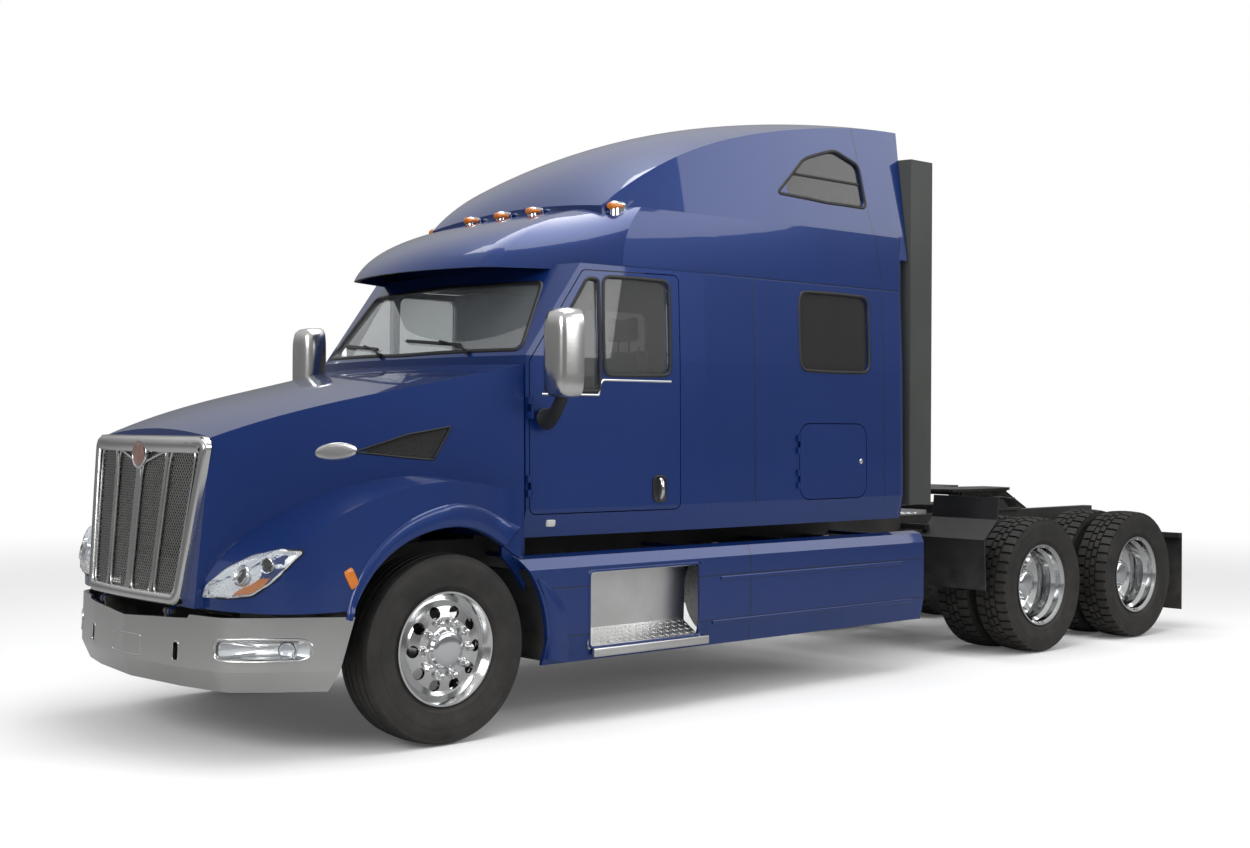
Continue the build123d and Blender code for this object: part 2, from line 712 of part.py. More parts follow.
# the sleeper's side openings
hatch_outline = [(hatch_front_y, hatch_bottom_z), (hatch_rear_y, hatch_bottom_z),
                 (hatch_rear_y, hatch_top_z), (hatch_front_y, hatch_top_z)]
bunk_window_outline = [(aft(2776), 2030), (aft(3440), 2030), (aft(3440), 2520), (aft(2776), 2520)]
hatch_hinges = [hinge(hatch_hinge_x, hatch_front_y, z, 1120) for z in (1330, 1550)]
sleeper_whole = cut(sleeper_volume(0), sleeper_volume(wall))
hatch_room = [
    clear_column(hatch_hinge_x, hatch_front_y, z, 3 * 40 + 4, 9 + 1.5) for z in (1330, 1550)
]
hatch_panel = shared(sleeper_whole, side_prism(hatch_outline, *side_reach, 90))
luggage_door_left = joined(cut(hatch_panel, *hatch_room), *[moving for fixed, moving in hatch_hinges])
bunk_window_hole = side_prism(bunk_window_outline, *side_reach, 70)
sleeper_shell = cut(
    sleeper_whole,
    both_sides(side_prism(moved_in(hatch_outline, -panel_gap), *side_reach, 90 + panel_gap)),
    both_sides(bunk_window_hole),
)
sleeper_shell = joined(sleeper_shell, *[both_sides(fixed) for fixed, moving in hatch_hinges])
sleeper_glass = cut(sleeper_volume(glass_inset), sleeper_volume(glass_inset + glass_thickness))
bunk_panes = shared(
    sleeper_glass, side_prism(moved_in(bunk_window_outline, seat_gap), *side_reach, 70)
)
save("sleeper_shell", sleeper_shell)
save("luggage_door_left", luggage_door_left)
save("luggage_door_right", other_side(luggage_door_left))

# ---------------------------------------------------------------- roof
# (z, nose y at the middle, corner x and y, side x and y where the visor ends, rear half width)
roof_levels = (
    (2560.0, 420.0, 700.0, 580.0, 1045.0, 1310.0, 1097.0),
    (2700.0, 560.0, 700.0, 700.0, 1041.0, 1322.0, 1097.0),
    (2830.0, 820.0, 688.0, 925.0, 1031.0, 1375.0, 1095.0),
    (ledge_z, 1215.0, 640.0, 1262.0, 1010.0, 1480.0, 1090.0),
)


def ledge_volume(inset):
    """The roof up to its ledge, with the visor in front."""
    with BuildPart() as made:
        for z, nose, corner_x, corner, side_x, side, rear_x in roof_levels:
            level = z - inset * (1.0 if z == ledge_z else 0.4)
            level = z - 2 if inset and z < 2600 else level
            lag = inset * 1.6
            half = [(corner_x - 0.6 * inset, aft(corner + lag)), (side_x - inset, aft(side + lag * 0.6)),
                    (rear_x - inset, aft(3000)), (rear_x - inset, sleeper_rear_y - inset)]
            with BuildSketch(Plane.XY.offset(level)) as drawn:
                with BuildLine():
                    ThreePointArc((-half[0][0], half[0][1]), (0, aft(nose + lag)), half[0])
                    Polyline(*half)
                    Polyline(*[(-x, y) for x, y in half])
                    Line(half[-1], (-half[-1][0], half[-1][1]))
                make_face()
                fillet([v for v in drawn.vertices() if abs(v.X) < 720], 160)
                fillet(drawn.vertices().sort_by(Axis.Y)[-2:], max(sleeper_corner_radius - inset, 8.0))
        loft()
    return made.part


dome_base_z = ledge_z - 150
dome_lean = 0.12  # how fast the dome's flat sides close in as they rise
# (y, base half width, shoulder z, crown z)
dome_stations = (
    (1300.0, 880.0, 2960.0, 3010.0),
    (1500.0, 945.0, 3115.0, 3200.0),
    (1729.0, 995.0, 3250.0, 3348.0),
    (2027.0, 1037.0, 3380.0, 3488.0),
    (2474.0, 1074.0, 3510.0, 3632.0),
    (3000.0, 1090.0, 3610.0, 3735.0),
    (3500.0, 1093.0, 3672.0, roof_top_z - 10),
    (3870.0, 1093.0, 3690.0, roof_top_z),
)


def dome_volume(inset):
    """The raised dome above the ledge."""
    with BuildPart() as made:
        for y, base_x, shoulder_z, crown_z in dome_stations:
            place = aft(y)
            if inset:
                place = min(max(place, aft(1300) + 2.4 * inset), sleeper_rear_y - inset)
            low = dome_base_z - inset
            top = shoulder_z - inset
            base = base_x - inset
            shoulder = base - dome_lean * (top - low)
            with BuildSketch(cross_plane(place)) as drawn:
                with BuildLine():
                    Polyline((-shoulder, top), (-base, low), (base, low), (shoulder, top))
                    ThreePointArc((shoulder, top), (0, crown_z - inset), (-shoulder, top))
                make_face()
                fillet([v for v in drawn.vertices() if v.Z > low + 10], max(150.0 - inset, 20.0))
        loft()
    return made.part


ledge_outer = ledge_volume(0)
dome_outer = dome_volume(0)
roof_rear = block((-1300, 1300), (visor_rear_y, sleeper_rear_y + 10), (cab_top_z, 4000))
roof_solid = shared(joined(ledge_outer, dome_outer), roof_rear)
roof_space = joined(
    shared(ledge_volume(wall), block((-1300, 1300), (visor_rear_y + wall, sleeper_rear_y), (2500, 4000))),
    dome_volume(wall),
)
roof_window_outline = [(aft(2630), 3150), (aft(2900), 3390), (aft(3200), 3480), (aft(3430), 3410),
                       (aft(3470), 3130)]
roof_window_hole = side_prism(roof_window_outline, 850, 1300, 50)
roof_cap = cut(roof_solid, roof_space, both_sides(roof_window_hole))
roof_glass = cut(
    shared(dome_volume(glass_inset), side_prism(moved_in(roof_window_outline, seat_gap), 850, 1300, 50)),
    dome_volume(glass_inset + glass_thickness),
)
sleeper_windows = both_sides(joined(bunk_panes, roof_glass))
visor_wall = 18.0
visor_front = block((-1300, 1300), (aft(300), visor_rear_y), (2500, 4000))
visor = cut(
    shared(ledge_outer, visor_front), ledge_volume(visor_wall), cab_outer,
)
save("roof_cap", roof_cap)
save("sleeper_windows", sleeper_windows)
save("visor", visor)


def marker_lights():
    """Five amber lamps on the roof's ledge, seated on the roof's and the visor's skin."""
    # (x, y, z) of each lamp's middle
    places = ((0, 1242, 2948), (320, 1240, 2944), (911, 1385, 2935))
    lamps = []
    for x, y, z in places:
        with BuildPart() as lamp:
            with BuildSketch(Plane(origin=(x, aft(y), z - 60), z_dir=(0, 0, 1))):
                SlotOverall(110, 64, rotation=90)
            extrude(amount=110)
            fillet(lamp.faces().sort_by(Axis.Z)[-1].edges(), 20)
        lamps.append(lamp.part)
        if x:
            lamps.append(other_side(lamp.part))
    return cut(joined(*lamps), roof_solid, ledge_outer)


save("marker_lights", marker_lights())

# ---------------------------------------------------------------- hood and fenders
# (y, crown z at the middle)
hood_stations = ((-1160.0, 1600.0), (-871.0, 1706.0), (-515.0, 1806.0), (640.0, 2056.0))
hood_crown_drop = 42.0  # from the middle to the shoulder
hood_shoulder_radius = 110.0
# (y, outer half width, top z at the outer shoulder, shoulder radius)
fender_stations = (
    (-1105.0, 700.0, 850.0, 60.0),
    (-1000.0, 1030.0, 985.0, 90.0),
    (-850.0, 1160.0, 1110.0, 125.0),
    (-600.0, 1192.0, 1245.0, 140.0),
    (-300.0, fender_x, 1340.0, 150.0),
    (50.0, fender_x, 1372.0, 150.0),
    (450.0, fender_x, 1310.0, 150.0),
)
grille_lean = (-1150.0, 745.0, -1062.0, 1640.0)  # (y, z) low and high on the hood's front wall


def hood_half_width(y):
    """Half the hood's width at its sides, which open out towards the windshield."""
    return 620 + 0.2595 * (y + 1080)


def hood_centre(inset):
    """The hood between the fenders."""
    with BuildPart() as made:
        for y, crown_z in hood_stations:
            half = hood_half_width(y) - inset
            top = crown_z - hood_crown_drop - inset
            with BuildSketch(cross_plane(aft(y))) as drawn:
                with BuildLine():
                    Polyline((half, top), (half + 15, fender_bottom_z - inset),
                             (-half - 15, fender_bottom_z - inset), (-half, top))
                    ThreePointArc((-half, top), (0, crown_z - inset), (half, top))
                make_face()
                fillet([v for v in drawn.vertices() if v.Z > fender_bottom_z + 10],
                       hood_shoulder_radius - inset)
        loft()
    return made.part


def front_of_hood(inset):
    """All that lies ahead of the hood's leaning front wall, moved back by inset."""
    low_y, low_z, high_y, high_z = grille_lean
    slope = (high_y - low_y) / (high_z - low_z)
    return side_prism([(aft(low_y + inset - 400 * slope), low_z - 400),
                       (aft(high_y + inset + 400 * slope), high_z + 400),
                       (aft(-1600), high_z + 400), (aft(-1600), low_z - 400)], -900, 900)


def fender(inset):
    """The left fender, from beside the grille to the cowl."""
    over = 1.0 if inset else 0.0
    last = fender_stations[-1][0]
    with BuildPart() as made:
        for y, outer_x, top, radius in fender_stations:
            place = min(max(y, fender_stations[0][0] + 1.5 * inset), last) + (over if y == last else 0)
            with BuildSketch(cross_plane(aft(place))) as drawn:
                with BuildLine():
                    Polyline((450, fender_bottom_z - inset), (outer_x - inset, fender_bottom_z - inset),
                             (outer_x - inset, top - inset), (450, top + 45 - inset), close=True)
                make_face()
                fillet([v for v in drawn.vertices() if v.X > 460 and v.Z > fender_bottom_z + 10],
                       radius - inset)
        loft()
    return made.part


def behind_cowl(gap):
    """All that lies behind the hood's curved rear edge, which follows the cab's nose."""
    corner = (1250.0, cab_corner_y + 45 - gap)
    with BuildPart() as made:
        with BuildSketch(Plane.XY.offset(600)):
            with BuildLine():
                ThreePointArc((-corner[0], corner[1]), (0, cab_nose_y - gap), corner)
                Polyline(corner, (corner[0], aft(1200)), (-corner[0], aft(1200)), (-corner[0], corner[1]))
            make_face()
        extrude(amount=1800)
    return made.part


def arch_cut(radius, x_low):
    """The round wheel arch, on the left side."""
    return rod((x_low, front_axle_y, tyre_radius), (1350, front_axle_y, tyre_radius), radius)


grille_hole_outline = [(-470, 800), (470, 800), (560, 1530), (-560, 1530)]
lens_outline = [(690, 800), (860, 815), (1110, 895), (1110, 1030), (840, 915), (690, 865)]
intake_outline = [(aft(-350), 1520), (aft(70), 1478), (aft(170), 1655), (aft(-60), 1610)]
lens_reach = (aft(-1300), aft(-700))
hood_space = cut(joined(hood_centre(hood_wall), fender(hood_wall), other_side(fender(hood_wall))),
                 front_of_hood(hood_wall))
hood_outer = cut(joined(hood_centre(0), fender(0), other_side(fender(0))), front_of_hood(0))
lens_prism = cross_prism(lens_outline, *lens_reach, 12)
intake_hole = side_prism(intake_outline, 740, 1100, 14)
hood_arm = cut(
    joined(
        rod((hood_eye_x - 8, hood_pivot_y, hood_pivot_z), (hood_eye_x + 12, hood_pivot_y, hood_pivot_z),
            hood_eye_radius),
        side_prism([(hood_pivot_y - 10, hood_pivot_z + 12), (hood_pivot_y + 16, hood_pivot_z + 8),
                    (aft(-1106), 790), (aft(-1125), 790), (aft(-1141), 752)],
                   hood_eye_x - 8, hood_eye_x + 12),
    ),
    rod((hood_eye_x - 20, hood_pivot_y, hood_pivot_z), (hood_eye_x + 30, hood_pivot_y, hood_pivot_z),
        hood_pin_radius + seat_gap),
)
hood_shell = cut(
    hood_outer, hood_space, behind_cowl(2 * panel_gap), both_sides(arch_cut(arch_radius, 500)),
    cross_prism(grille_hole_outline, aft(-1300), aft(-950), 40), both_sides(lens_prism),
    both_sides(intake_hole),
)
hood = joined(hood_shell, both_sides(hood_arm))
headlight = cut(
    shared(fender(8.0), cross_prism(moved_in(lens_outline, seat_gap), *lens_reach, 12)), fender(hood_wall)
)
vent = cut(
    shared(hood_centre(10.0), side_prism(moved_in(intake_outline, seat_gap), 740, 1100, 14)),
    hood_centre(hood_wall),
)
save("hood", hood)
save("headlights", both_sides(headlight))
save("hood_vents", both_sides(vent))

# ---------------------------------------------------------------- grille
surround_outline = [(-530, 755), (530, 755), (650, 1600), (-650, 1600)]
surround_width = 50.0
grille_bow = 55.0  # how far the middle of the grille stands ahead of its edges


def grille_slab(front, back):
    """A bowed slab that leans with the hood's front wall, front and back millimetres ahead of it."""
    low_y, low_z, high_y, high_z = grille_lean
    with BuildPart() as made:
        for y, z in ((low_y, low_z), (high_y, high_z)):
            face_y = aft(y) - front
            back_y = aft(y) - back
            bow = grille_bow if back > 1 else 0.0
            with BuildSketch(Plane.XY.offset(z)):
                with BuildLine():
                    ThreePointArc((-700, face_y), (0, face_y - grille_bow), (700, face_y))
                    Line((700, face_y), (700, back_y))
                    if bow:
                        ThreePointArc((700, back_y), (0, back_y - bow), (-700, back_y))
                    else:
                        Line((700, back_y), (-700, back_y))
                    Line((-700, back_y), (-700, face_y))
                make_face()
        loft(ruled=True)
    return made.part


def grille_surround():
    """The bright frame and its upright bars; the middle bar carries a plain round disc."""
    frame = cut(
        cross_prism(surround_outline, aft(-1400), aft(-900), 60),
        cross_prism(moved_in(surround_outline, surround_width), aft(-1500), aft(-800), 40),
    )
    bars = [cross_prism([(-22, 790), (22, 790), (22, 1440), (-22, 1440)], aft(-1400), aft(-900))]
    for foot, head in ((-255, -300), (255, 300)):
        bars.append(cross_prism([(foot - 9, 790), (foot + 9, 790), (head + 9, 1560), (head - 9, 1560)],
                                aft(-1400), aft(-900)))
    disc = rod((0, aft(-1400), 1500), (0, aft(-900), 1500), 72)
    return joined(
        shared(frame, grille_slab(18, 0)),
        shared(joined(*bars, disc), grille_slab(22, 6)),
    )


def grille_mesh():
    """A lattice of crossed wires in the hood's front opening."""
    low_y, low_z, high_y, high_z = grille_lean
    lean = Vector(0, high_y - low_y, high_z - low_z).normalized()
    plane = Plane(origin=(0, aft(low_y) + 8, low_z), x_dir=(1, 0, 0), z_dir=Vector(1, 0, 0).cross(lean))
    stretch = hypot(1, (high_y - low_y) / (high_z - low_z))
    outline = [(x, (z - low_z) * stretch) for x, z in moved_in(grille_hole_outline, seat_gap)]
    rim_outline = moved_in(outline, 12)
    pitch = 62.0
    wire = 9.0
    reach = 1600
    with BuildPart() as made:
        with BuildSketch(plane):
            with BuildLine():
                Polyline(*outline, close=True)
            make_face()
            with BuildLine():
                Polyline(*rim_outline, close=True)
            make_face(mode=Mode.SUBTRACT)
        extrude(amount=6)
    with BuildPart() as lattice:
        with BuildSketch(plane):
            with Locations((0, 400)):
                for turn in (38, -38):
                    with Locations(*[Location((0, (n - 17.5) * pitch, 0), (0, 0, turn)) for n in range(36)]):
                        Rectangle(reach, wire)
        extrude(amount=6)
    window = cross_prism(moved_in(grille_hole_outline, 10), aft(-1400), aft(-900), 30)
    seat = cross_prism(moved_in(grille_hole_outline, seat_gap), aft(-1400), aft(-900), 40)
    return joined(shared(made.part, seat),
                  shared(lattice.part, window))


save("grille_surround", grille_surround())
save("grille_mesh", grille_mesh())

# ---------------------------------------------------------------- skirts, steps, tanks and deck
skirt_rear_y = aft(3930.0)
skirt_front_y = hood_rear_y + panel_gap + 2
skirt_wall = 24.0
step_front_y = aft(930.0)
step_rear_y = aft(1800.0)
step_low_z = 420.0
step_high_z = 860.0


def chassis_fairing():
    """The left skirt below the cab and sleeper, with the step opening and its frame brackets."""
    outline = [(1200, 500), (1200, 880), (1172, 940), (1110, 955), (1110, 955 - skirt_wall),
               (1160, 922), (1200 - skirt_wall, 872), (1200 - skirt_wall, 508), (1150, 380),
               (1150, 356), (1172, 356)]
    panel = cross_prism(outline, skirt_front_y, skirt_rear_y)
    opening = side_prism([(step_front_y, step_low_z), (step_rear_y, step_low_z),
                          (step_rear_y, step_high_z), (step_front_y, step_high_z)], 1000, 1300)
    arms = [block((rail_outer_x, 1190), (aft(y - 25), aft(y + 25)), (900, 925))
            for y in (820, 2050, 2960, 3860)]
    return joined(cut(panel, arch_cut(arch_radius, 500), opening),
                  *[cut(arm, cross_prism([(1176, 800), (1176, 1000), (1300, 1000), (1300, 800)],
                                         aft(0), aft(4000))) for arm in arms])


def steps():
    """The left pair of cab steps: one bent plate with an upper and a lower tread."""
    outline = [(1198, step_low_z), (1198, step_low_z + 14), (1054, step_low_z + 14), (1066, 845),
               (1165, 845), (1165, step_high_z), (1050, step_high_z), (1038, step_low_z)]
    plate = cross_prism(outline, step_front_y, step_rear_y)
    arms = [block((rail_outer_x, 1045), (aft(y - 20), aft(y + 20)), (760, 800)) for y in (1100, 1640)]
    return joined(plate, *arms)


def rear_deck():
    """The tread plate across the rails behind the cab, with a raised rim."""
    plate = block((-rail_outer_x, rail_outer_x), (aft(4080), aft(4960)), (rail_top_z, rail_top_z + 10))
    rim = block((-rail_outer_x, rail_outer_x), (aft(4930), aft(4960)), (rail_top_z + 10, rail_top_z + 35))
    return joined(plate, rim)


def fuel_tank():
    """The left fuel tank and the two straps that carry it on the rail."""
    centre = (790, 605)
    tank = rod((centre[0], aft(2330), centre[1]), (centre[0], aft(3760), centre[1]), 285)
    straps = [
        block((rail_outer_x, 620), (aft(y - 30), aft(y + 30)), (rail_bottom_z + 20, rail_top_z - 90))
        for y in (2500, 3590)
    ]
    return joined(tank, *straps)


def extender():
    """The left wind panel behind the sleeper, with the flange that fastens it."""
    panel = block((1082, 1104), (sleeper_rear_y + 24, aft(4130)), (1130, 3500))
    flange = plan_prism([(960, sleeper_rear_y), (1000, sleeper_rear_y), (1104, sleeper_rear_y + 24),
                         (1104, sleeper_rear_y + 46), (1076, sleeper_rear_y + 46), (960, sleeper_rear_y + 14)],
                        1130, 3500)
    return joined(panel, flange)


def mudguards():
    """Quarter guards ahead of the drive wheels, and the flaps with their hangers."""
    thickness = 10.0
    low_x = 615.0
    high_x = 1190.0
    profile = [(4662, 500), (4645, 860), (4800, 1000), (4818, 1160)]
    back = [(y - thickness, z) for y, z in reversed(profile)]
    guard = side_prism([(aft(y), z) for y, z in profile + back], low_x, high_x)
    guard_arm = block((rail_outer_x, low_x + 40), (aft(4650), aft(4700)), (905, 945))
    guard_arm = cut(guard_arm, side_prism([(aft(y), z) for y, z in profile] + [(aft(5200), 1160),
                                          (aft(5200), 500)], 400, 700))
    flap = block((640, 1200), (rear_y - 12, rear_y), (170, 800))
    hanger = block((rail_outer_x - 30, 1200), (rear_y - 50, rear_y - 12), (760, 800))
    hanger_foot = block((rail_outer_x - 80, rail_outer_x), (rail_rear_y, rear_y - 50), (760, 800))
    return joined(*[both_sides(piece) for piece in (joined(guard, guard_arm),
                                                    joined(flap, hanger, hanger_foot))])


def tail_lights():
    """A red lamp on a backing box at each rail's end."""
    box = block((300, rail_outer_x - 5), (rail_rear_y, rail_rear_y + 40), (860, 960))
    return both_sides(box)


save("chassis_fairings", both_sides(chassis_fairing()))
save("tread_plates", joined(both_sides(steps()), rear_deck()))
save("fuel_tanks", both_sides(fuel_tank()))
save("side_extenders", both_sides(extender()))
save("mudguards", mudguards())
save("tail_lights", tail_lights())

# ---------------------------------------------------------------- fifth wheel
ear_x = (395.0, 430.0)
rib_x = (335.0, 385.0)


def fifth_wheel_base():
    """A slider plate on the rails with an ear and a pin on each side."""
    foot = block((300, 460), (plate_pivot_y - 260, plate_pivot_y + 260), (rail_top_z, rail_top_z + 16))
    ear = side_prism([(plate_pivot_y - 150, rail_top_z + 10), (plate_pivot_y + 150, rail_top_z + 10),
                      (plate_pivot_y + 36, plate_pivot_z + 20), (plate_pivot_y - 36, plate_pivot_z + 20)],
                     *ear_x, 12)
    crown = rod((ear_x[0], plate_pivot_y, plate_pivot_z), (ear_x[1], plate_pivot_y, plate_pivot_z), 36)
    pin = rod((rib_x[0], plate_pivot_y, plate_pivot_z), (ear_x[1], plate_pivot_y, plate_pivot_z),
              plate_pin_radius)
    return both_sides(joined(foot, ear, crown, pin))


def fifth_wheel_plate():
    """The coupling plate: greased top, lock round the kingpin, open throat and rear ramps."""
    under_z = plate_top_z - plate_thickness
    half = [(200, aft(5200)), (400, aft(5330)), (460, aft(5520)), (460, aft(5980)), (400, aft(6090)),
            (300, aft(6120))]
    outline = half + [(-x, y) for x, y in reversed(half)]
    top = plan_prism(outline, under_z, plate_top_z)
    throat = plan_prism([(-58, kingpin_y + 60), (58, kingpin_y + 60), (150, aft(6200)),
                         (-150, aft(6200))], under_z - 60, plate_top_z + 1)
    lock = plan_prism([(-110, kingpin_y - 110), (110, kingpin_y - 110), (110, kingpin_y + 58),
                       (-110, kingpin_y + 58)], plate_top_z - lock_bore_length, under_z)
    bore = rod((0, kingpin_y, under_z - 100), (0, kingpin_y, plate_top_z + 1), lock_bore_radius)
    rib = side_prism([(aft(5560), under_z), (plate_pivot_y - 50, plate_pivot_z - 34),
                      (plate_pivot_y + 50, plate_pivot_z - 34), (aft(6080), under_z)], *rib_x)
    rim = block((400, 424), (aft(5420), aft(5820)), (under_z - 40, under_z))
    ramp = side_prism([(aft(6060), plate_top_z), (aft(6120), plate_top_z - 6), (aft(6470), 1000),
                       (aft(6470), 985), (aft(6110), under_z - 30), (aft(6060), under_z - 30)], 160, 300)
    sockets = rod((rib_x[0] - 20, plate_pivot_y, plate_pivot_z), (rib_x[1] + 20, plate_pivot_y, plate_pivot_z),
                  plate_pin_radius + seat_gap)
    whole = cut(joined(top, both_sides(joined(rib, rim, ramp))), throat)
    return cut(joined(whole, lock), bore, both_sides(sockets))


save("fifth_wheel_base", fifth_wheel_base())
save("fifth_wheel_plate", fifth_wheel_plate())

# ---------------------------------------------------------------- cab fittings and mirrors
floor_z = cab_bottom_z + wall
driver_x = 450.0


def dashboard():
    """The dash across the cab with its binnacle, and the steering column and wheel."""
    reach = block((-940, 940), (aft(400), aft(900)), (1500, 1960))
    dash = shared(cab_volume(wall + seat_gap), reach)
    binnacle = block((driver_x - 220, driver_x + 220), (aft(880), aft(960)), (1700, 1960))
    hub = (driver_x, aft(1130), 1740.0)
    column = rod((driver_x, aft(880), 1600), hub, 34)
    rake = Plane(origin=hub, x_dir=(1, 0, 0), z_dir=(0, 0.55, 0.85))
    with BuildPart() as wheel:
        with BuildSketch(Plane(origin=hub, x_dir=(1, 0, 0), z_dir=rake.y_dir)):
            with Locations((225, 0)):
                Circle(16)
        revolve(axis=Axis(hub, rake.z_dir))
        with BuildSketch(rake.offset(-8)):
            Rectangle(450, 36)
            Circle(62)
        extrude(amount=16)
    return joined(dash, binnacle, column, wheel.part)


def seats():
    """The driver's and the passenger's seat: pedestal, cushion, back and headrest in one form."""
    profile = [(aft(1330), 1500), (aft(1330), 1600), (aft(1700), 1590), (aft(1790), 2180),
               (aft(1810), 2360), (aft(1870), 2360), (aft(1885), 2150), (aft(1840), 1480), (aft(1700), 1470)]
    chair = side_prism(profile, driver_x - 250, driver_x + 250, 22)
    pedestal = block((driver_x - 170, driver_x + 170), (aft(1400), aft(1760)), (floor_z, 1490))
    return both_sides(joined(chair, pedestal))


def mirror_head():
    """The left mirror: a tall shell on a bent arm from the door."""
    shell = plan_prism([(1215, aft(700)), (1265, aft(560)), (1380, aft(545)), (1420, aft(600)),
                        (1425, aft(700))], 1810, 2300, 18)
    arm = side_prism([(aft(670), 1700), (aft(760), 1640), (aft(760), 1760), (aft(700), 1850),
                      (aft(640), 1850)], 1062, 1300, 15)
    arm = shared(arm, cross_prism([(1062, 1640), (1130, 1640), (1300, 1830), (1300, 1850), (1220, 1850),
                                   (1062, 1790)], aft(500), aft(900)))
    return cut(joined(shell, arm), cab_volume(-seat_gap))


save("dashboard", dashboard())
save("seats", seats())
mirror_left = mirror_head()
save("mirror_left", mirror_left)
save("mirror_right", other_side(mirror_left))
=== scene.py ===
import math

import bmesh
import bpy
from mathutils import Matrix, Vector
from mathutils.bvhtree import BVHTree


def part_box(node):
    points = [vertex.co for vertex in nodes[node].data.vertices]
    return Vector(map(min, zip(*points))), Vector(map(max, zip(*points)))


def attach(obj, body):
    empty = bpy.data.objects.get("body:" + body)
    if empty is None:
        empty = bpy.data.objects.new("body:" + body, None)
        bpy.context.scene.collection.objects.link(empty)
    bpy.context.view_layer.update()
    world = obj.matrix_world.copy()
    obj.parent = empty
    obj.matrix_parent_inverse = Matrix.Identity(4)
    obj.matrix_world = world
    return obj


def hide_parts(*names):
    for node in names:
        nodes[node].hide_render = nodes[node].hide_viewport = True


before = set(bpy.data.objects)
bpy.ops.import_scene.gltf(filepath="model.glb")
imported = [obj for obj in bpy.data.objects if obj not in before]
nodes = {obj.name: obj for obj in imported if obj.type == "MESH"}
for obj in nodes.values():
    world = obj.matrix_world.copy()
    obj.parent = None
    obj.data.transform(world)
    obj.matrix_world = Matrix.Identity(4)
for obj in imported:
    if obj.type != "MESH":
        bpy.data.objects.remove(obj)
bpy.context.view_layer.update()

SIDES = (("left", 1.0), ("right", -1.0))
FRONT_AXLE_Y = -3.065
DRIVE_AXLE_YS = (2.275, 3.595)
AXLE_Z = 0.5
STEER_TYRE_X = 1.037
TWIN_TYRE_XS = (0.743, 1.086)
X_AXIS, Y_AXIS, Z_AXIS = Vector((1, 0, 0)), Vector((0, 1, 0)), Vector((0, 0, 1))


def aft(distance):
    """The Y of a place this far behind the front axle."""
    return FRONT_AXLE_Y + distance


# ---------------------------------------------------------------- materials
GREY = (0.5, 0.5, 0.5)


def feed(tree, socket, value):
    """Links another socket here, or sets a plain value; colours are given without their alpha."""
    if hasattr(value, "is_linked"):
        tree.links.new(value, socket)
    else:
        socket.default_value = (*value, 1.0) if socket.type == "RGBA" else value


def add(tree, kind, fed=None, **settings):
    """The outputs of a new shader node, with its settings made and its inputs fed."""
    node = tree.nodes.new("ShaderNode" + kind)
    for label, value in settings.items():
        setattr(node, label, value)
    for place, value in (fed or {}).items():
        feed(tree, node.inputs[place], value)
    return node.outputs


def calc(tree, operation, *values, clamp=False):
    """A Math node on sockets or plain numbers."""
    return add(tree, "Math", dict(enumerate(values)), operation=operation, use_clamp=clamp)[0]


def mixed(tree, factor, first, second):
    """A colour mix of sockets or plain colours."""
    return add(tree, "Mix", {0: factor, 6: first, 7: second}, data_type="RGBA")[2]


def noise(tree, coordinate, scale, detail=3.0, roughness=0.5):
    return add(tree, "TexNoise", {"Vector": coordinate, "Scale": scale, "Detail": detail,
                                  "Roughness": roughness})["Fac"]


def fade(tree, value, start, end, low=0.0, high=1.0):
    """A smooth step from low to high while a value goes from start to end."""
    return add(tree, "MapRange", {"Value": value, "From Min": start, "From Max": end, "To Min": low,
                                  "To Max": high}, interpolation_type="SMOOTHSTEP")[0]


def new_group(name, inputs, outputs):
    """An empty node group with a coordinate and the inputs {name: default}, and the outputs named."""
    group = bpy.data.node_groups.new(name, "ShaderNodeTree")
    for way, sockets in (("INPUT", {"Coordinate": (0, 0, 0), **inputs}), ("OUTPUT", dict.fromkeys(outputs))):
        for label, value in sockets.items():
            kind = "Color" if label.endswith("Colour") else "Vector" if isinstance(value, tuple) else "Float"
            socket = group.interface.new_socket(label, in_out=way, socket_type="NodeSocket" + kind)
            if value is not None:
                socket.default_value = (*value, 1.0) if kind == "Color" else value
    return group, group.nodes.new("NodeGroupInput").outputs, group.nodes.new("NodeGroupOutput").inputs


def put_out(group, result, **values):
    """Feeds a group's outputs and hands the group back."""
    for label, value in values.items():
        feed(group, result[label], value)
    return group


def make_weathering():
    """Slow colour drift, broken gloss and fine height, for paint, plastic and metal alike."""
    group, given, result = new_group(
        "weathering", {"Colour": GREY, "Aged Colour": (0.4, 0.4, 0.4), "Patch Scale": 3.0, "Grain Scale": 80.0,
                       "Roughness": 0.4, "Roughness Spread": 0.1}, ("Colour", "Roughness", "Height"))
    patches = noise(group, given["Coordinate"], given["Patch Scale"], 4.0)
    grain = noise(group, given["Coordinate"], given["Grain Scale"], 2.0)
    aged = calc(group, "MULTIPLY_ADD", patches, 2.4, -0.7, clamp=True)
    spread = calc(group, "SUBTRACT", calc(group, "ADD", patches, grain), 1.0)
    gloss = calc(group, "MULTIPLY_ADD", spread, given["Roughness Spread"], given["Roughness"], clamp=True)
    return put_out(group, result, Colour=mixed(group, aged, given["Colour"], given["Aged Colour"]),
                   Roughness=gloss, Height=grain)


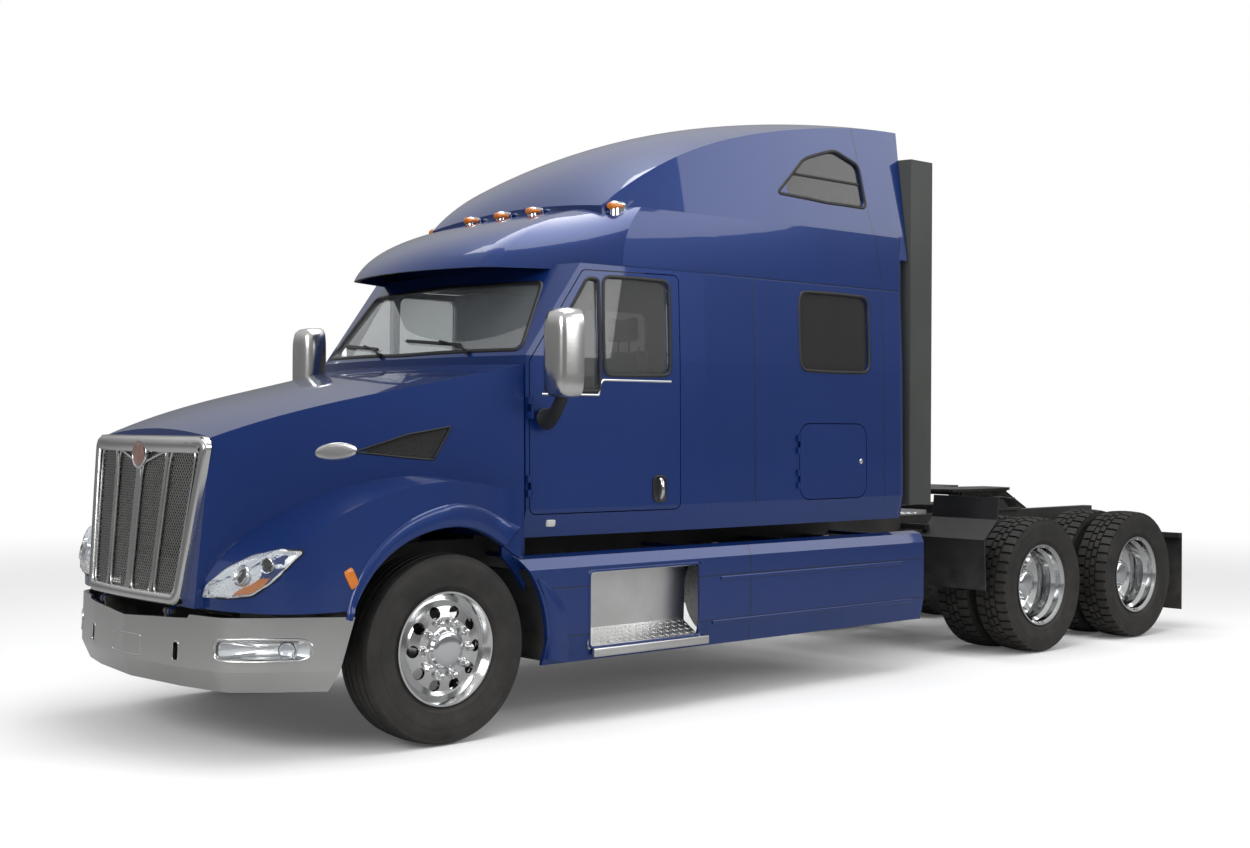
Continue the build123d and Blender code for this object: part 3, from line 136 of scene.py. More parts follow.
def make_road_film():
    """A pale film that thickens towards the road: its colour and its mask."""
    group, given, result = new_group(
        "road_film", {"Colour": GREY, "Film Colour": (0.3, 0.28, 0.25), "Top": 1.0, "Amount": 0.3},
        ("Colour", "Mask"))
    height = add(group, "SeparateXYZ", {0: given["Coordinate"]})["Z"]
    depth = calc(group, "DIVIDE", calc(group, "SUBTRACT", given["Top"], height), given["Top"], clamp=True)
    broken = calc(group, "MULTIPLY_ADD", noise(group, given["Coordinate"], 9.0, 5.0, 0.65), 2.0, -0.5,
                  clamp=True)
    mask = calc(group, "MULTIPLY", calc(group, "MULTIPLY", depth, broken), given["Amount"])
    return put_out(group, result, Colour=mixed(group, mask, given["Colour"], given["Film Colour"]), Mask=mask)


def make_shut_line():
    """A narrow groove where a slanted plane crosses a panel, between two heights."""
    group, given, result = new_group(
        "shut_line", {"Place": 0.0, "Along": 1.0, "Lean": 0.0, "Width": 0.006, "Low": 0.0, "High": 4.0},
        ("Line",))
    split = add(group, "SeparateXYZ", {0: given["Coordinate"]})
    along = calc(group, "MULTIPLY", split["Y"], given["Along"])
    plane = calc(group, "MULTIPLY_ADD", split["Z"], given["Lean"], along)
    off = calc(group, "ABSOLUTE", calc(group, "SUBTRACT", plane, given["Place"]))
    near = calc(group, "SUBTRACT", 1.0, calc(group, "DIVIDE", off, given["Width"]), clamp=True)
    within = calc(group, "MULTIPLY", calc(group, "GREATER_THAN", split["Z"], given["Low"]),
                  calc(group, "LESS_THAN", split["Z"], given["High"]))
    return put_out(group, result, Line=calc(group, "MULTIPLY", near, within))


def make_brushing():
    """Fine drawn scratches along one direction."""
    group, given, result = new_group(
        "brushing", {"Stretch": (1, 1, 1), "Roughness": 0.2, "Spread": 0.1}, ("Roughness", "Height"))
    drawn = add(group, "VectorMath", {0: given["Coordinate"], 1: given["Stretch"]}, operation="MULTIPLY")[0]
    lines = noise(group, drawn, 1.0, 3.0, 0.6)
    gloss = calc(group, "MULTIPLY_ADD", calc(group, "SUBTRACT", lines, 0.5), given["Spread"],
                 given["Roughness"], clamp=True)
    return put_out(group, result, Roughness=gloss, Height=lines)


WEATHERING = make_weathering()
ROAD_FILM = make_road_film()
SHUT_LINE = make_shut_line()
BRUSHING = make_brushing()


class Finish:
    """A material under construction: its tree, its shader and the object coordinates."""

    def __init__(self, name, **constants):
        self.material = bpy.data.materials.new(name)
        self.material.use_nodes = True
        self.tree = self.material.node_tree
        self.tree.nodes.clear()
        self.shader = self.tree.nodes.new("ShaderNodeBsdfPrincipled")
        self.surface = self.tree.nodes.new("ShaderNodeOutputMaterial").inputs["Surface"]
        self.show(self.shader.outputs[0])
        self.where = add(self.tree, "TexCoord")["Object"]
        self.set(**constants)

    def show(self, shader):
        self.tree.links.new(shader, self.surface)

    def set(self, **sockets):
        for label, value in sockets.items():
            feed(self.tree, self.shader.inputs[label.replace("_", " ")], value)

    def place(self, group, **settings):
        """The outputs of a group placed in this material with its own values."""
        fed = {label.replace("_", " "): value for label, value in settings.items()}
        return add(self.tree, "Group", {"Coordinate": self.where, **fed}, node_tree=group)

    def weathered(self, colour, aged, patch, grain, roughness, spread):
        return self.place(WEATHERING, Colour=colour, Aged_Colour=aged, Patch_Scale=patch, Grain_Scale=grain,
                          Roughness=roughness, Roughness_Spread=spread)

    def end(self, height, strength, distance, **sockets):
        """Feeds the shader, with a height as its bump, and hands the material over."""
        self.set(**sockets, Normal=add(self.tree, "Bump", {
            "Strength": strength, "Distance": distance, "Height": height})[0])
        return self.material

    def mix_in(self, factor, shader):
        """Shows another shader in place of the main one where the factor is 1."""
        self.show(add(self.tree, "MixShader", {0: factor, 1: self.shader.outputs[0], 2: shader})[0])


def plain_finish(name, colour, aged, roughness, spread, patch=3.0, grain=120.0, bump=0.1, depth=0.0008,
                 film=0.0, film_top=1.0, **constants):
    """A weathered finish: most of the vehicle's coats differ only in these values."""
    made = Finish(name, **constants)
    surface = made.weathered(colour, aged, patch, grain, roughness, spread)
    shade = surface["Colour"]
    if film:
        shade = made.place(ROAD_FILM, Colour=shade, Top=film_top, Amount=film)["Colour"]
    return made.end(surface["Height"], bump, depth, Base_Color=shade, Roughness=surface["Roughness"])


def paint(name, seams=()):
    """Deep blue flake paint under clear coat; seams are (place, along, lean, low, high) shut lines."""
    made = Finish(name, Metallic=0.35, Specular_IOR_Level=0.25, Coat_Roughness=0.03, Coat_IOR=1.45,
                  Coat_Weight=0.9)
    tree = made.tree
    surface = made.weathered((0.0025, 0.0185, 0.108), (0.0032, 0.022, 0.125), 0.8, 420.0, 0.36, 0.08)
    flakes = calc(tree, "MULTIPLY_ADD", noise(tree, made.where, 900.0, 1.0), 1.6, -0.62, clamp=True)
    shade = mixed(tree, flakes, surface["Colour"], (0.007, 0.042, 0.21))
    shade = made.place(ROAD_FILM, Colour=shade, Top=0.9, Amount=0.05)["Colour"]
    height = calc(tree, "MULTIPLY", noise(tree, made.where, 26.0, 1.0), 0.05)
    for place, along, lean, low, high in seams:
        line = made.place(SHUT_LINE, Place=place, Along=along, Lean=lean, Width=0.007, Low=low,
                          High=high)["Line"]
        height = calc(tree, "MULTIPLY_ADD", line, -1.0, height)
        shade = mixed(tree, calc(tree, "MULTIPLY", line, 0.9), shade, (0.004, 0.008, 0.02))
    return made.end(height, 0.5, 0.003, Base_Color=shade, Roughness=surface["Roughness"])


def dimmed(colour, share):
    return tuple(share * part for part in colour)


def bright(name, colour, roughness, spread, stretch, bump=0.05, patch=2.0, film=0.0):
    """Plated or polished metal with drawn scratches."""
    made = Finish(name, Metallic=1.0)
    surface = made.weathered(colour, dimmed(colour, 0.82), patch, 60.0, roughness, spread)
    lines = made.place(BRUSHING, Stretch=stretch, Roughness=surface["Roughness"], Spread=spread)
    shade = surface["Colour"]
    if film:
        shade = made.place(ROAD_FILM, Colour=shade, Top=0.8, Amount=film)["Colour"]
    return made.end(lines["Height"], bump, 0.0005, Base_Color=shade, Roughness=lines["Roughness"])


def glass(name, colour, roughness=0.01, streak=0.015, clear=1.0):
    """Glazing with a little road haze, which lets shadow rays and diffuse rays through."""
    made = Finish(name, Transmission_Weight=clear, IOR=1.45, Metallic=0.0)
    haze = made.weathered(colour, dimmed(colour, 0.9), 2.5, 14.0, roughness, streak)
    made.set(Base_Color=haze["Colour"], Roughness=haze["Roughness"])
    path = add(made.tree, "LightPath")
    through = calc(made.tree, "MAXIMUM", path["Is Shadow Ray"], path["Is Diffuse Ray"])
    made.mix_in(through, add(made.tree, "BsdfTransparent", {"Color": dimmed(colour, 0.9)})[0])
    return made.material


def painted_shade_weave(name):
    """Black expanded mesh: crossed strands with painted shade in the gaps for the dark space behind, seen side
    on.
    """
    made = Finish(name, Specular_IOR_Level=0.4)
    tree = made.tree
    split = add(tree, "SeparateXYZ", {0: made.where})
    strands = []
    for lean in (0.62, -0.62):
        line = calc(tree, "MULTIPLY_ADD", split["Y"], lean, split["Z"])
        strands.append(calc(tree, "SINE", calc(tree, "MULTIPLY", line, 520.0)))
    weave = calc(tree, "MULTIPLY_ADD", calc(tree, "MAXIMUM", *strands), 2.2, -1.1, clamp=True)
    surface = made.weathered((0.040, 0.040, 0.036), (0.055, 0.052, 0.046), 6.0, 200.0, 0.45, 0.15)
    # The near-black between the strands is painted shade for the space behind the mesh, not a colour of the
    # mesh.
    return made.end(weave, 0.8, 0.004, Roughness=surface["Roughness"],
                    Base_Color=mixed(tree, weave, (0.003, 0.003, 0.003), surface["Colour"]))


def rubber(name):
    """Tyre rubber: dark, dry, with a brown bloom on the sidewalls and road dust low down."""
    made = Finish(name, Specular_IOR_Level=0.35)
    surface = made.weathered((0.012, 0.0115, 0.011), (0.024, 0.0225, 0.021), 7.0, 160.0, 0.62, 0.14)
    dusty = made.place(ROAD_FILM, Colour=surface["Colour"], Film_Colour=(0.10, 0.09, 0.08), Top=1.0,
                       Amount=0.25)
    return made.end(surface["Height"], 0.35, 0.0012, Base_Color=dusty["Colour"],
                    Roughness=surface["Roughness"])


def cloth(name):
    """Woven seat cloth: two crossed thread waves, with a soft sheen."""
    made = Finish(name, Sheen_Weight=0.3, Sheen_Roughness=0.5, Specular_IOR_Level=0.2)
    tree = made.tree
    weave = calc(tree, "MAXIMUM", *(add(tree, "TexWave", {
        "Scale": 60.0, "Distortion": 0.6, "Vector": made.where}, bands_direction=axis)["Fac"] for axis in "XZ"))
    surface = made.weathered((0.10, 0.10, 0.11), (0.14, 0.14, 0.15), 4.0, 300.0, 0.85, 0.1)
    shade = mixed(tree, calc(tree, "MULTIPLY", weave, 0.5), surface["Colour"], (0.20, 0.20, 0.215))
    return made.end(weave, 0.4, 0.0015, Base_Color=shade, Roughness=surface["Roughness"])


# Shut lines: (place, along, lean, low, high)
ROOF_FOOT = (2.585, 0.0, 1.0, 2.5, 2.6)
SLEEPER_SEAMS = ((aft(2.345), 1.0, 0.0, 1.165, 2.58), (aft(3.60), 1.0, 0.0, 1.165, 2.58), ROOF_FOOT)
ROOF_SEAMS = ((aft(3.60) + 0.19 * 2.58, 1.0, 0.19, 2.6, 3.9), ROOF_FOOT)
SKIRT_SEAMS = ((aft(2.23), 1.0, 0.0, 0.3, 1.0), (0.77, 0.0, 1.0, 0.7, 0.8), (0.505, 0.0, 1.0, 0.4, 0.6))

# After the name: bright has colour, roughness, spread, stretch, bump, patch size, road film; plain_finish
# has colour, aged colour, roughness, spread, patch size, grain size, bump, its depth, road film and its top;
# glass has colour, roughness, streaks and how clear it is.
M = {
    "paint": paint("blue_clearcoat"),
    "sleeper_paint": paint("blue_clearcoat_sleeper", SLEEPER_SEAMS),
    "roof_paint": paint("blue_clearcoat_roof", ROOF_SEAMS),
    "skirt_paint": paint("blue_clearcoat_skirt", SKIRT_SEAMS),
    "bumper": bright("satin_bumper_plate", (0.78, 0.78, 0.77), 0.22, 0.05, (1.5, 1.5, 900), 0.03, 1.2, 0.06),
    "chrome": bright("polished_chrome", (0.80, 0.81, 0.83), 0.07, 0.05, (40, 40, 40), 0.01),
    "surround": bright("grille_chrome", (0.76, 0.76, 0.755), 0.16, 0.02, (60, 60, 60), 0.02),
    "wire": bright("grille_wire_steel", (0.72, 0.71, 0.69), 0.30, 0.10, (80, 80, 80), 0.1),
    "rim": bright("polished_rim", (0.78, 0.785, 0.79), 0.12, 0.08, (90, 90, 90), 0.03, 5.0, 0.1),
    "step": bright("step_aluminium", (0.82, 0.82, 0.81), 0.34, 0.08, (2, 300, 300), 0.04, 4.0, 0.06),
    "tank": bright("tank_aluminium", (0.62, 0.62, 0.62), 0.25, 0.12, (300, 2, 300), 0.06, 3.0, 0.3),
    "chassis": plain_finish("chassis_black_paint", (0.016, 0.016, 0.017), (0.028, 0.027, 0.026), 0.42, 0.2,
                            film=0.5, film_top=1.1),
    "cast": plain_finish("cast_axle_iron", (0.028, 0.028, 0.029), (0.05, 0.046, 0.042), 0.6, 0.25, 6.0, 90.0,
                         0.4, 0.002, 0.6, 1.0),
    "grease": plain_finish("greased_steel", (0.020, 0.019, 0.018), (0.045, 0.042, 0.038), 0.30, 0.35, 9.0,
                           60.0, 0.3, 0.002, Metallic=0.6),
    "plastic": plain_finish("moulded_black_plastic", (0.009, 0.009, 0.010), (0.015, 0.015, 0.016), 0.5,
                            0.12, 3.0, 500.0, 0.25, 0.0006, 0.3, 0.9),
    "extender": plain_finish("charcoal_panel", (0.032, 0.035, 0.033), (0.042, 0.045, 0.042), 0.5, 0.1, 2.0,
                             400.0, 0.2, 0.0006),
    "seal": plain_finish("rubber_seal", (0.004, 0.004, 0.0045), (0.008, 0.008, 0.008), 0.45, 0.1, 8.0, 200.0),
    "interior": plain_finish("interior_moulding", (0.10, 0.10, 0.105), (0.13, 0.13, 0.135), 0.6, 0.1, 4.0,
                             350.0, 0.3, 0.0008),
    "cloth": cloth("seat_cloth"),
    "intake": painted_shade_weave("intake_mesh_painted_shade"),
    "screen": glass("windshield_glass", (0.84, 0.88, 0.90), clear=0.93),
    "tint": glass("privacy_glass", (0.12, 0.12, 0.12), 0.02, 0.02, 0.85),
    "door_tint": glass("door_glass", (0.48, 0.49, 0.48), 0.01, 0.015, 0.93),
    "lens": glass("clear_lens", (0.93, 0.95, 0.97)),
    "amber": plain_finish("amber_lens", (0.75, 0.22, 0.02), (0.60, 0.16, 0.015), 0.12, 0.06, 12.0, 300.0,
                          0.2, 0.001, Transmission_Weight=0.25, Coat_Weight=0.6),
    "red": plain_finish("red_lens", (0.42, 0.012, 0.010), (0.34, 0.010, 0.010), 0.14, 0.06, 12.0, 300.0,
                        0.2, 0.001, Transmission_Weight=0.2, Coat_Weight=0.6),
    "rubber": rubber("tyre_rubber"),
    "reflector": plain_finish("lamp_reflector", (0.78, 0.79, 0.80), (0.66, 0.67, 0.68), 0.28, 0.08, 10.0, 90.0,
                              0.1, 0.001, Metallic=0.55),
    "frosted": plain_finish("frosted_lens", (0.62, 0.63, 0.62), (0.55, 0.56, 0.55), 0.25, 0.1, 12.0, 300.0,
                            0.2, 0.001, Transmission_Weight=0.2),
    "mirror": bright("mirror_glass", (0.72, 0.74, 0.76), 0.02, 0.01, (20, 20, 20), 0.0),
    "enamel": plain_finish("bronze_enamel", (0.17, 0.09, 0.075), (0.21, 0.12, 0.10), 0.3, 0.1, 30.0, 500.0,
                           0.1, 0.0005, Coat_Weight=0.5),
}
CAD_FINISHES = {
    "paint": ("cab_shell", "visor", "hood", "door_left", "door_right"),
    "sleeper_paint": ("sleeper_shell", "luggage_door_left", "luggage_door_right"),
    "roof_paint": ("roof_cap",),
    "skirt_paint": ("chassis_fairings",),
    "bumper": ("front_bumper",),
    "chrome": ("marker_lights",),
    "surround": ("grille_surround",),
    "wire": ("grille_mesh",),
    "rim": tuple(f"{kind}_{side}" for side, _ in SIDES
                 for kind in ("front_rim", "drive_rims_1", "drive_rims_2")),
    "step": ("tread_plates",),
    "tank": ("fuel_tanks",),
    "chassis": ("frame_rails", "radiator", "fifth_wheel_base"),
    "cast": ("engine", "front_axle", "drive_axles", "rear_suspension", "knuckle_left", "knuckle_right"),
    "grease": ("fifth_wheel_plate",),
    "plastic": ("mudguards", "mirror_left", "mirror_right"),
    "intake": ("hood_vents",),
    "extender": ("side_extenders",),
    "interior": ("dashboard",),
    "cloth": ("seats",),
    "screen": ("windshield",),
    "tint": ("sleeper_windows",),
    "door_tint": ("door_glass_left", "door_glass_right"),
    "lens": ("fog_lamps", "headlights"),
    "red": ("tail_lights",),
    "rubber": tuple(f"{kind}_{side}" for side, _ in SIDES
                    for kind in ("front_tyre", "drive_tyres_1", "drive_tyres_2")),
}
for finish_key, dressed_nodes in CAD_FINISHES.items():
    for dressed in dressed_nodes:
        nodes[dressed].data.materials.clear()
        nodes[dressed].data.materials.append(M[finish_key])

CABIN_HALF_WIDTH = 1.03
FACING_INWARDS = 0.35


def line_with(mesh, key, test):
    """Gives the faces of a mesh whose centre and normal pass the test a second finish."""
    mesh.materials.append(M[key])
    for polygon in mesh.polygons:
        if test(polygon.center, polygon.normal):
            polygon.material_index = 1


def line_cabin(node, middle):
    """The interior finish for the faces of a shell that look towards the cabin's middle."""
    line_with(nodes[node].data, "interior", lambda centre, normal: abs(centre.x) < CABIN_HALF_WIDTH
              and normal.dot((Vector(middle) - centre).normalized()) > FACING_INWARDS)


line_cabin("cab_shell", (0, aft(1.5), 1.9))
line_cabin("sleeper_shell", (0, aft(2.9), 1.9))


# ---------------------------------------------------------------- modelling by hand
def let_go():
    """Nothing selected, object mode."""
    if bpy.context.object and bpy.context.object.mode != "OBJECT":
        bpy.ops.object.mode_set(mode="OBJECT")
    bpy.ops.object.select_all(action="DESELECT")


def take(obj):
    """This object alone selected and active."""
    let_go()
    obj.select_set(True)
    bpy.context.view_layer.objects.active = obj


def linked(name, data):
    """A new object in the scene."""
    made = bpy.data.objects.new(name, data)
    bpy.context.scene.collection.objects.link(made)
    return made


def settle():
    """Puts the active object's place, turn and size into its mesh."""
    bpy.ops.object.transform_apply(location=True, rotation=True, scale=True)
    return bpy.context.object


def box(low, high):
    """A block between two corners."""
    let_go()
    low, high = Vector(low), Vector(high)
    bpy.ops.mesh.primitive_cube_add(size=1, location=(low + high) / 2, scale=high - low)
    return settle()


def drum(centre, radius, depth, sides, tip):
    """A cone frustum along Y; the tip is its other radius."""
    let_go()
    bpy.ops.mesh.primitive_cone_add(vertices=sides, radius1=radius, radius2=tip, depth=depth, location=centre,
                                    rotation=(-math.pi / 2, 0, 0))
    return settle()


def editing(obj):
    """Edit mode, with everything selected."""
    take(obj)
    bpy.ops.object.mode_set(mode="EDIT")
    bpy.ops.mesh.select_mode(type="VERT")
    bpy.ops.mesh.select_all(action="SELECT")


def pick_faces(obj, test):
    """Selects, in edit mode, the faces whose centre and normal pass the test."""
    bpy.ops.mesh.select_mode(type="FACE")
    bpy.ops.mesh.select_all(action="DESELECT")
    mesh = bmesh.from_edit_mesh(obj.data)
    for face in mesh.faces:
        if test(face.calc_center_median(), face.normal):
            face.select = True
    mesh.select_flush(True)
    bmesh.update_edit_mesh(obj.data)


def modifier(obj, kind, **settings):
    """Adds a modifier and applies it."""
    take(obj)
    added = obj.modifiers.new(kind.lower(), kind)
    for label, value in settings.items():
        setattr(added, label, value)
    bpy.ops.object.modifier_apply(modifier=added.name)
    return obj


def rounded(obj, width, segments=2, angle=35.0):
    return modifier(obj, "BEVEL", width=width, segments=segments, limit_method="ANGLE",
                    angle_limit=math.radians(angle), harden_normals=False)


def clean(obj, gap=0.00002):
    """Merges doubles and turns the faces outwards."""
    editing(obj)
    bpy.ops.mesh.remove_doubles(threshold=gap)
    bpy.ops.mesh.normals_make_consistent(inside=False)
    bpy.ops.object.mode_set(mode="OBJECT")
    return obj


def copied(obj, change):
    """A copy with its own mesh, moved by a matrix."""
    twin = linked(obj.name, obj.data.copy())
    twin.data.transform(change)
    return twin


def fused(parts):
    """Several objects as one mesh."""
    take(parts[0])
    for part in parts[1:]:
        part.select_set(True)
    bpy.ops.object.join()
    return bpy.context.object


def done(obj, name, body, key, angle=40.0):
    """The last steps on a piece: name, shading, finish and body."""
    take(obj)
    obj.name = obj.data.name = name
    bpy.ops.object.shade_smooth_by_angle(angle=math.radians(angle))
    obj.data.materials.clear()
    obj.data.materials.append(M[key])
    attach(obj, body)
    return obj


def both(obj, name, body, key, angle=40.0):
    """A left piece and its mirror image; {side} in the body's name is filled in."""
    twin = clean(copied(obj, Matrix.Scale(-1, 4, X_AXIS)))
    for side, piece in (("left", obj), ("right", twin)):
        done(piece, f"{name}_{side}", body.format(side=side), key, angle)
    return obj, twin


def profile_line(points):
    """A line of edges through points, drawn by extruding one vertex."""
    let_go()
    bpy.ops.mesh.primitive_plane_add(size=0.01, location=points[0])
    line = settle()
    editing(line)
    bpy.ops.mesh.merge(type="CENTER")
    for here, there in zip(points, points[1:]):
        bpy.ops.mesh.extrude_vertices_move(TRANSFORM_OT_translate={"value": Vector(there) - Vector(here)})
    bpy.ops.object.mode_set(mode="OBJECT")
    return line


def turned(centre, axis, profile, steps):
    """A body of revolution from (along, radius) points round an axis through a centre."""
    line = profile_line([Vector(centre) + axis * along + Z_AXIS * radius for along, radius in profile])
    editing(line)
    bpy.ops.mesh.spin(steps=steps, angle=2 * math.pi, center=centre, axis=axis)
    return clean(line, 0.0001)


def tube(points, radius, sides=10, cyclic=False):
    """A round bar through points."""
    let_go()
    curve = bpy.data.curves.new("tube", "CURVE")
    curve.dimensions = "3D"
    curve.bevel_depth = radius
    curve.bevel_resolution = max(1, sides // 4)
    curve.use_fill_caps = not cyclic
    spline = curve.splines.new("NURBS")
    spline.points.add(len(points) - 1)
    for point, place in zip(spline.points, points):
        point.co = (*place, 1.0)
    spline.order_u = 3
    spline.use_cyclic_u = cyclic
    spline.use_endpoint_u = not cyclic
    spline.resolution_u = 8
    take(linked("tube", curve))
    bpy.ops.object.convert(target="MESH")
    return bpy.context.object


def side_plate(outline, low, high):
    """A flat plate with this (y, z) outline, from low to high in X."""
    plate = profile_line([(low, y, z) for y, z in outline])
    editing(plate)
    bpy.ops.mesh.edge_face_add()
    bpy.ops.mesh.extrude_region_move(TRANSFORM_OT_translate={"value": Vector((high - low, 0, 0))})
    bpy.ops.object.mode_set(mode="OBJECT")
    return clean(plate)


# ---------------------------------------------------------------- rings, sheets and sweeps
def polar(count):
    """The cosine and sine of evenly spaced angles."""
    return [(math.cos(a), math.sin(a)) for a in (2 * math.pi * number / count for number in range(count))]


def oval(centre, along, across, half_length, half_width, count, power=2.0):
    """Points round a superellipse; with power 2 it is an ellipse."""
    return [centre + along * half_length * math.copysign(abs(c) ** (2 / power), c)
            + across * half_width * math.copysign(abs(s) ** (2 / power), s) for c, s in polar(count)]


def wrap(builder, rings, first_cap=True, last_cap=True, loop=False):
    """Adds a skin over rings of equally many points to a bmesh."""
    rows = [[builder.verts.new(point) for point in ring] for ring in rings]
    for first, second in zip(rows, rows[1:] + (rows[:1] if loop else [])):
        for corner in range(len(first)):
            after = (corner + 1) % len(first)
            builder.faces.new((first[corner], first[after], second[after], second[corner]))
    if first_cap:
        builder.faces.new(rows[0][::-1])
    if last_cap:
        builder.faces.new(rows[-1])


def from_bmesh(builder):
    """A cleaned object from a finished bmesh."""
    mesh = bpy.data.meshes.new("piece")
    builder.to_mesh(mesh)
    builder.free()
    return clean(linked("piece", mesh))


def lofted(rings, **ends):
    """A skin over rings of equally many points, with its ends closed or open."""
    builder = bmesh.new()
    wrap(builder, rings, **ends)
    return from_bmesh(builder)


def sheet(rows, thickness):
    """A thin sheet over a grid of points."""
    builder = bmesh.new()
    grid = [[builder.verts.new(point) for point in row] for row in rows]
    for first, second in zip(grid, grid[1:]):
        for column in range(len(first) - 1):
            builder.faces.new((first[column], first[column + 1], second[column + 1], second[column]))
    return modifier(from_bmesh(builder), "SOLIDIFY", thickness=thickness, offset=-1.0)


def swept(path, section, cyclic=True):
    """A bar with an (across, up) section along (place, normal) stations."""
    last = len(path) - 1
    rings = []
    for number, (place, normal) in enumerate(path):
        if cyclic:
            ahead = path[(number + 1) % len(path)][0] - path[number - 1][0]
        else:
            ahead = path[min(number + 1, last)][0] - path[max(number - 1, 0)][0]
        across = ahead.cross(normal).normalized()
        up = across.cross(ahead).normalized()
        up = -up if up.dot(normal) < 0 else up
        rings.append([place + across * a + up * b for a, b in section])
    return lofted(rings, first_cap=not cyclic, last_cap=not cyclic, loop=cyclic)


def bead(width, height, sink=0.002, sides=8):
    """A low rounded section, sunk a little into what carries it."""
    return [(width / 2 * math.cos(a), -sink + (height + sink) * max(0.0, math.sin(a)) ** 0.7)
            for a in (math.pi * n / (sides - 1) for n in range(sides))]


def soft_outline(corners, radius, step=0.02, closed=True):
    """A 2-D outline with rounded corners, as evenly spaced points."""
    corners = [Vector(corner) for corner in corners]
    count = len(corners)
    dense = []
    for number, here in enumerate(corners):
        if not closed and number in (0, count - 1):
            dense.append(here)
            continue
        back, ahead = corners[number - 1] - here, corners[(number + 1) % count] - here
        reach = min(radius, back.length * 0.48, ahead.length * 0.48)
        start, end = here + back.normalized() * reach, here + ahead.normalized() * reach
        for share in (0, 0.17, 0.34, 0.5, 0.66, 0.83, 1):
            dense.append(start * (1 - share) ** 2 + here * 2 * share * (1 - share) + end * share ** 2)
    path = dense + dense[:1] if closed else dense
    points = []
    for first, second in zip(path, path[1:]):
        pieces = max(1, round((second - first).length / step))
        points += [first.lerp(second, number / pieces) for number in range(pieces)]
    return points if closed else points + path[-1:]


def evenly(low, high, count):
    """This many steps from low to high, both ends among the values."""
    return [low + (high - low) * number / count for number in range(count + 1)]


# ---------------------------------------------------------------- places on a skin
def from_left(y, z):
    """A ray from the left side of the vehicle."""
    return (1.7, y, z), (-1, 0, 0)


def from_front(x, z):
    """A ray from ahead of the vehicle."""
    return (x, -4.9, z), (0, 1, 0)


def skin(*names):
    """A ray cast on these solids: it gives the place and the normal that a ray meets first."""
    vertices, polygons = [], []
    for name in names:
        mesh = nodes[name].data
        base = len(vertices)
        vertices += [vertex.co.copy() for vertex in mesh.vertices]
        polygons += [[base + corner for corner in polygon.vertices] for polygon in mesh.polygons]
    tree = BVHTree.FromPolygons(vertices, polygons)
    return lambda origin, direction: tree.ray_cast(Vector(origin), Vector(direction))[:2]


def centre_of(points):
    return sum(points, points[0] * 0) / len(points)


def on_skin(meet, ray, outline, grow=0.0):
    """Where an outline, seen along a ray, meets a skin: (place, normal) stations."""
    middle = centre_of(outline)
    spots = [point + (point - middle).normalized() * grow for point in outline]
    return [(place, normal) for place, normal in (meet(*ray(*spot)) for spot in spots) if place is not None]


def trim(name, meet, ray, outline, section, grow=0.0, body="chassis", key="seal",
         closed=True):
    """A bead laid along an outline on a skin, and its mirror image."""
    path = on_skin(meet, ray, outline, grow)
    both(swept(path, bead(*section), closed), name, body, key, 60)


def aft_points(*points):
    """(distance behind the front axle, z) in metres, as (y, z)."""
    return [(aft(distance), z) for distance, z in points]


# ---------------------------------------------------------------- tyres
TYRE_SIDE = ((0.1046, 0.2865), (0.1046, 0.306), (0.112, 0.314), (0.1265, 0.330), (0.1268, 0.336),
             (0.1360, 0.365), (0.1395, 0.395), (0.1392, 0.412), (0.1372, 0.414), (0.1385, 0.434),
             (0.1340, 0.462), (0.1290, 0.474), (0.1300, 0.482), (0.1240, 0.4895), (0.1120, 0.4935))
STEER_GROOVES = ((-0.082, -0.070), (-0.034, -0.021), (0.021, 0.034), (0.070, 0.082))
DRIVE_GROOVES = ((-0.052, -0.040), (-0.006, 0.006), (0.040, 0.052))
GROOVE_DEPTH = 0.013
LUG_STEPS = 168
LUG_DEPTH = 0.016
LUG_FOOT_RADIUS = 0.482
CENTRE_RIBS_X = 0.045


def tyre(centre_x, y, grooves, steps):
    """A tyre spun from its cross-section, bead to bead over the tread, with its round grooves."""
    tread = [(x, 0.5 - 0.0065 * (x / 0.112) ** 2 - sunk) for left, right in grooves for x, sunk in (
        (left, 0), (left + 0.002, GROOVE_DEPTH), (right - 0.002, GROOVE_DEPTH), (right, 0))]
    profile = [*TYRE_SIDE, *sorted(tread, reverse=True), *((-x, r) for x, r in reversed(TYRE_SIDE))]
    return turned((centre_x, y, AXLE_Z), X_AXIS, profile, steps)


def steer_tyres():
    """Ribbed tyres with four round grooves."""
    for side, sign in SIDES:
        made = tyre(sign * STEER_TYRE_X, FRONT_AXLE_Y, STEER_GROOVES, 160)
        done(made, f"steer_tyre_{side}", f"front_wheel_{side}", "rubber", 30)
        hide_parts(f"front_tyre_{side}")


def cross_groove(centre, normal):
    """Whether a face of the drive tyre at the origin is sunk between two lugs."""
    x, radius = centre.x, math.hypot(centre.y, centre.z - AXLE_Z)
    turn = math.atan2(centre.y, centre.z - AXLE_Z) % (2 * math.pi)
    number = int(turn / (2 * math.pi) * LUG_STEPS + 0.25)
    shift = 0 if x > CENTRE_RIBS_X else 3 if -CENTRE_RIBS_X <= x <= 0 else 2
    in_round_groove = any(low - 0.001 < x < high + 0.001 for low, high in DRIVE_GROOVES)
    return (radius > LUG_FOOT_RADIUS and abs(normal.x) < 0.9 and (number + shift) % 4 == 0
            and not in_round_groove)


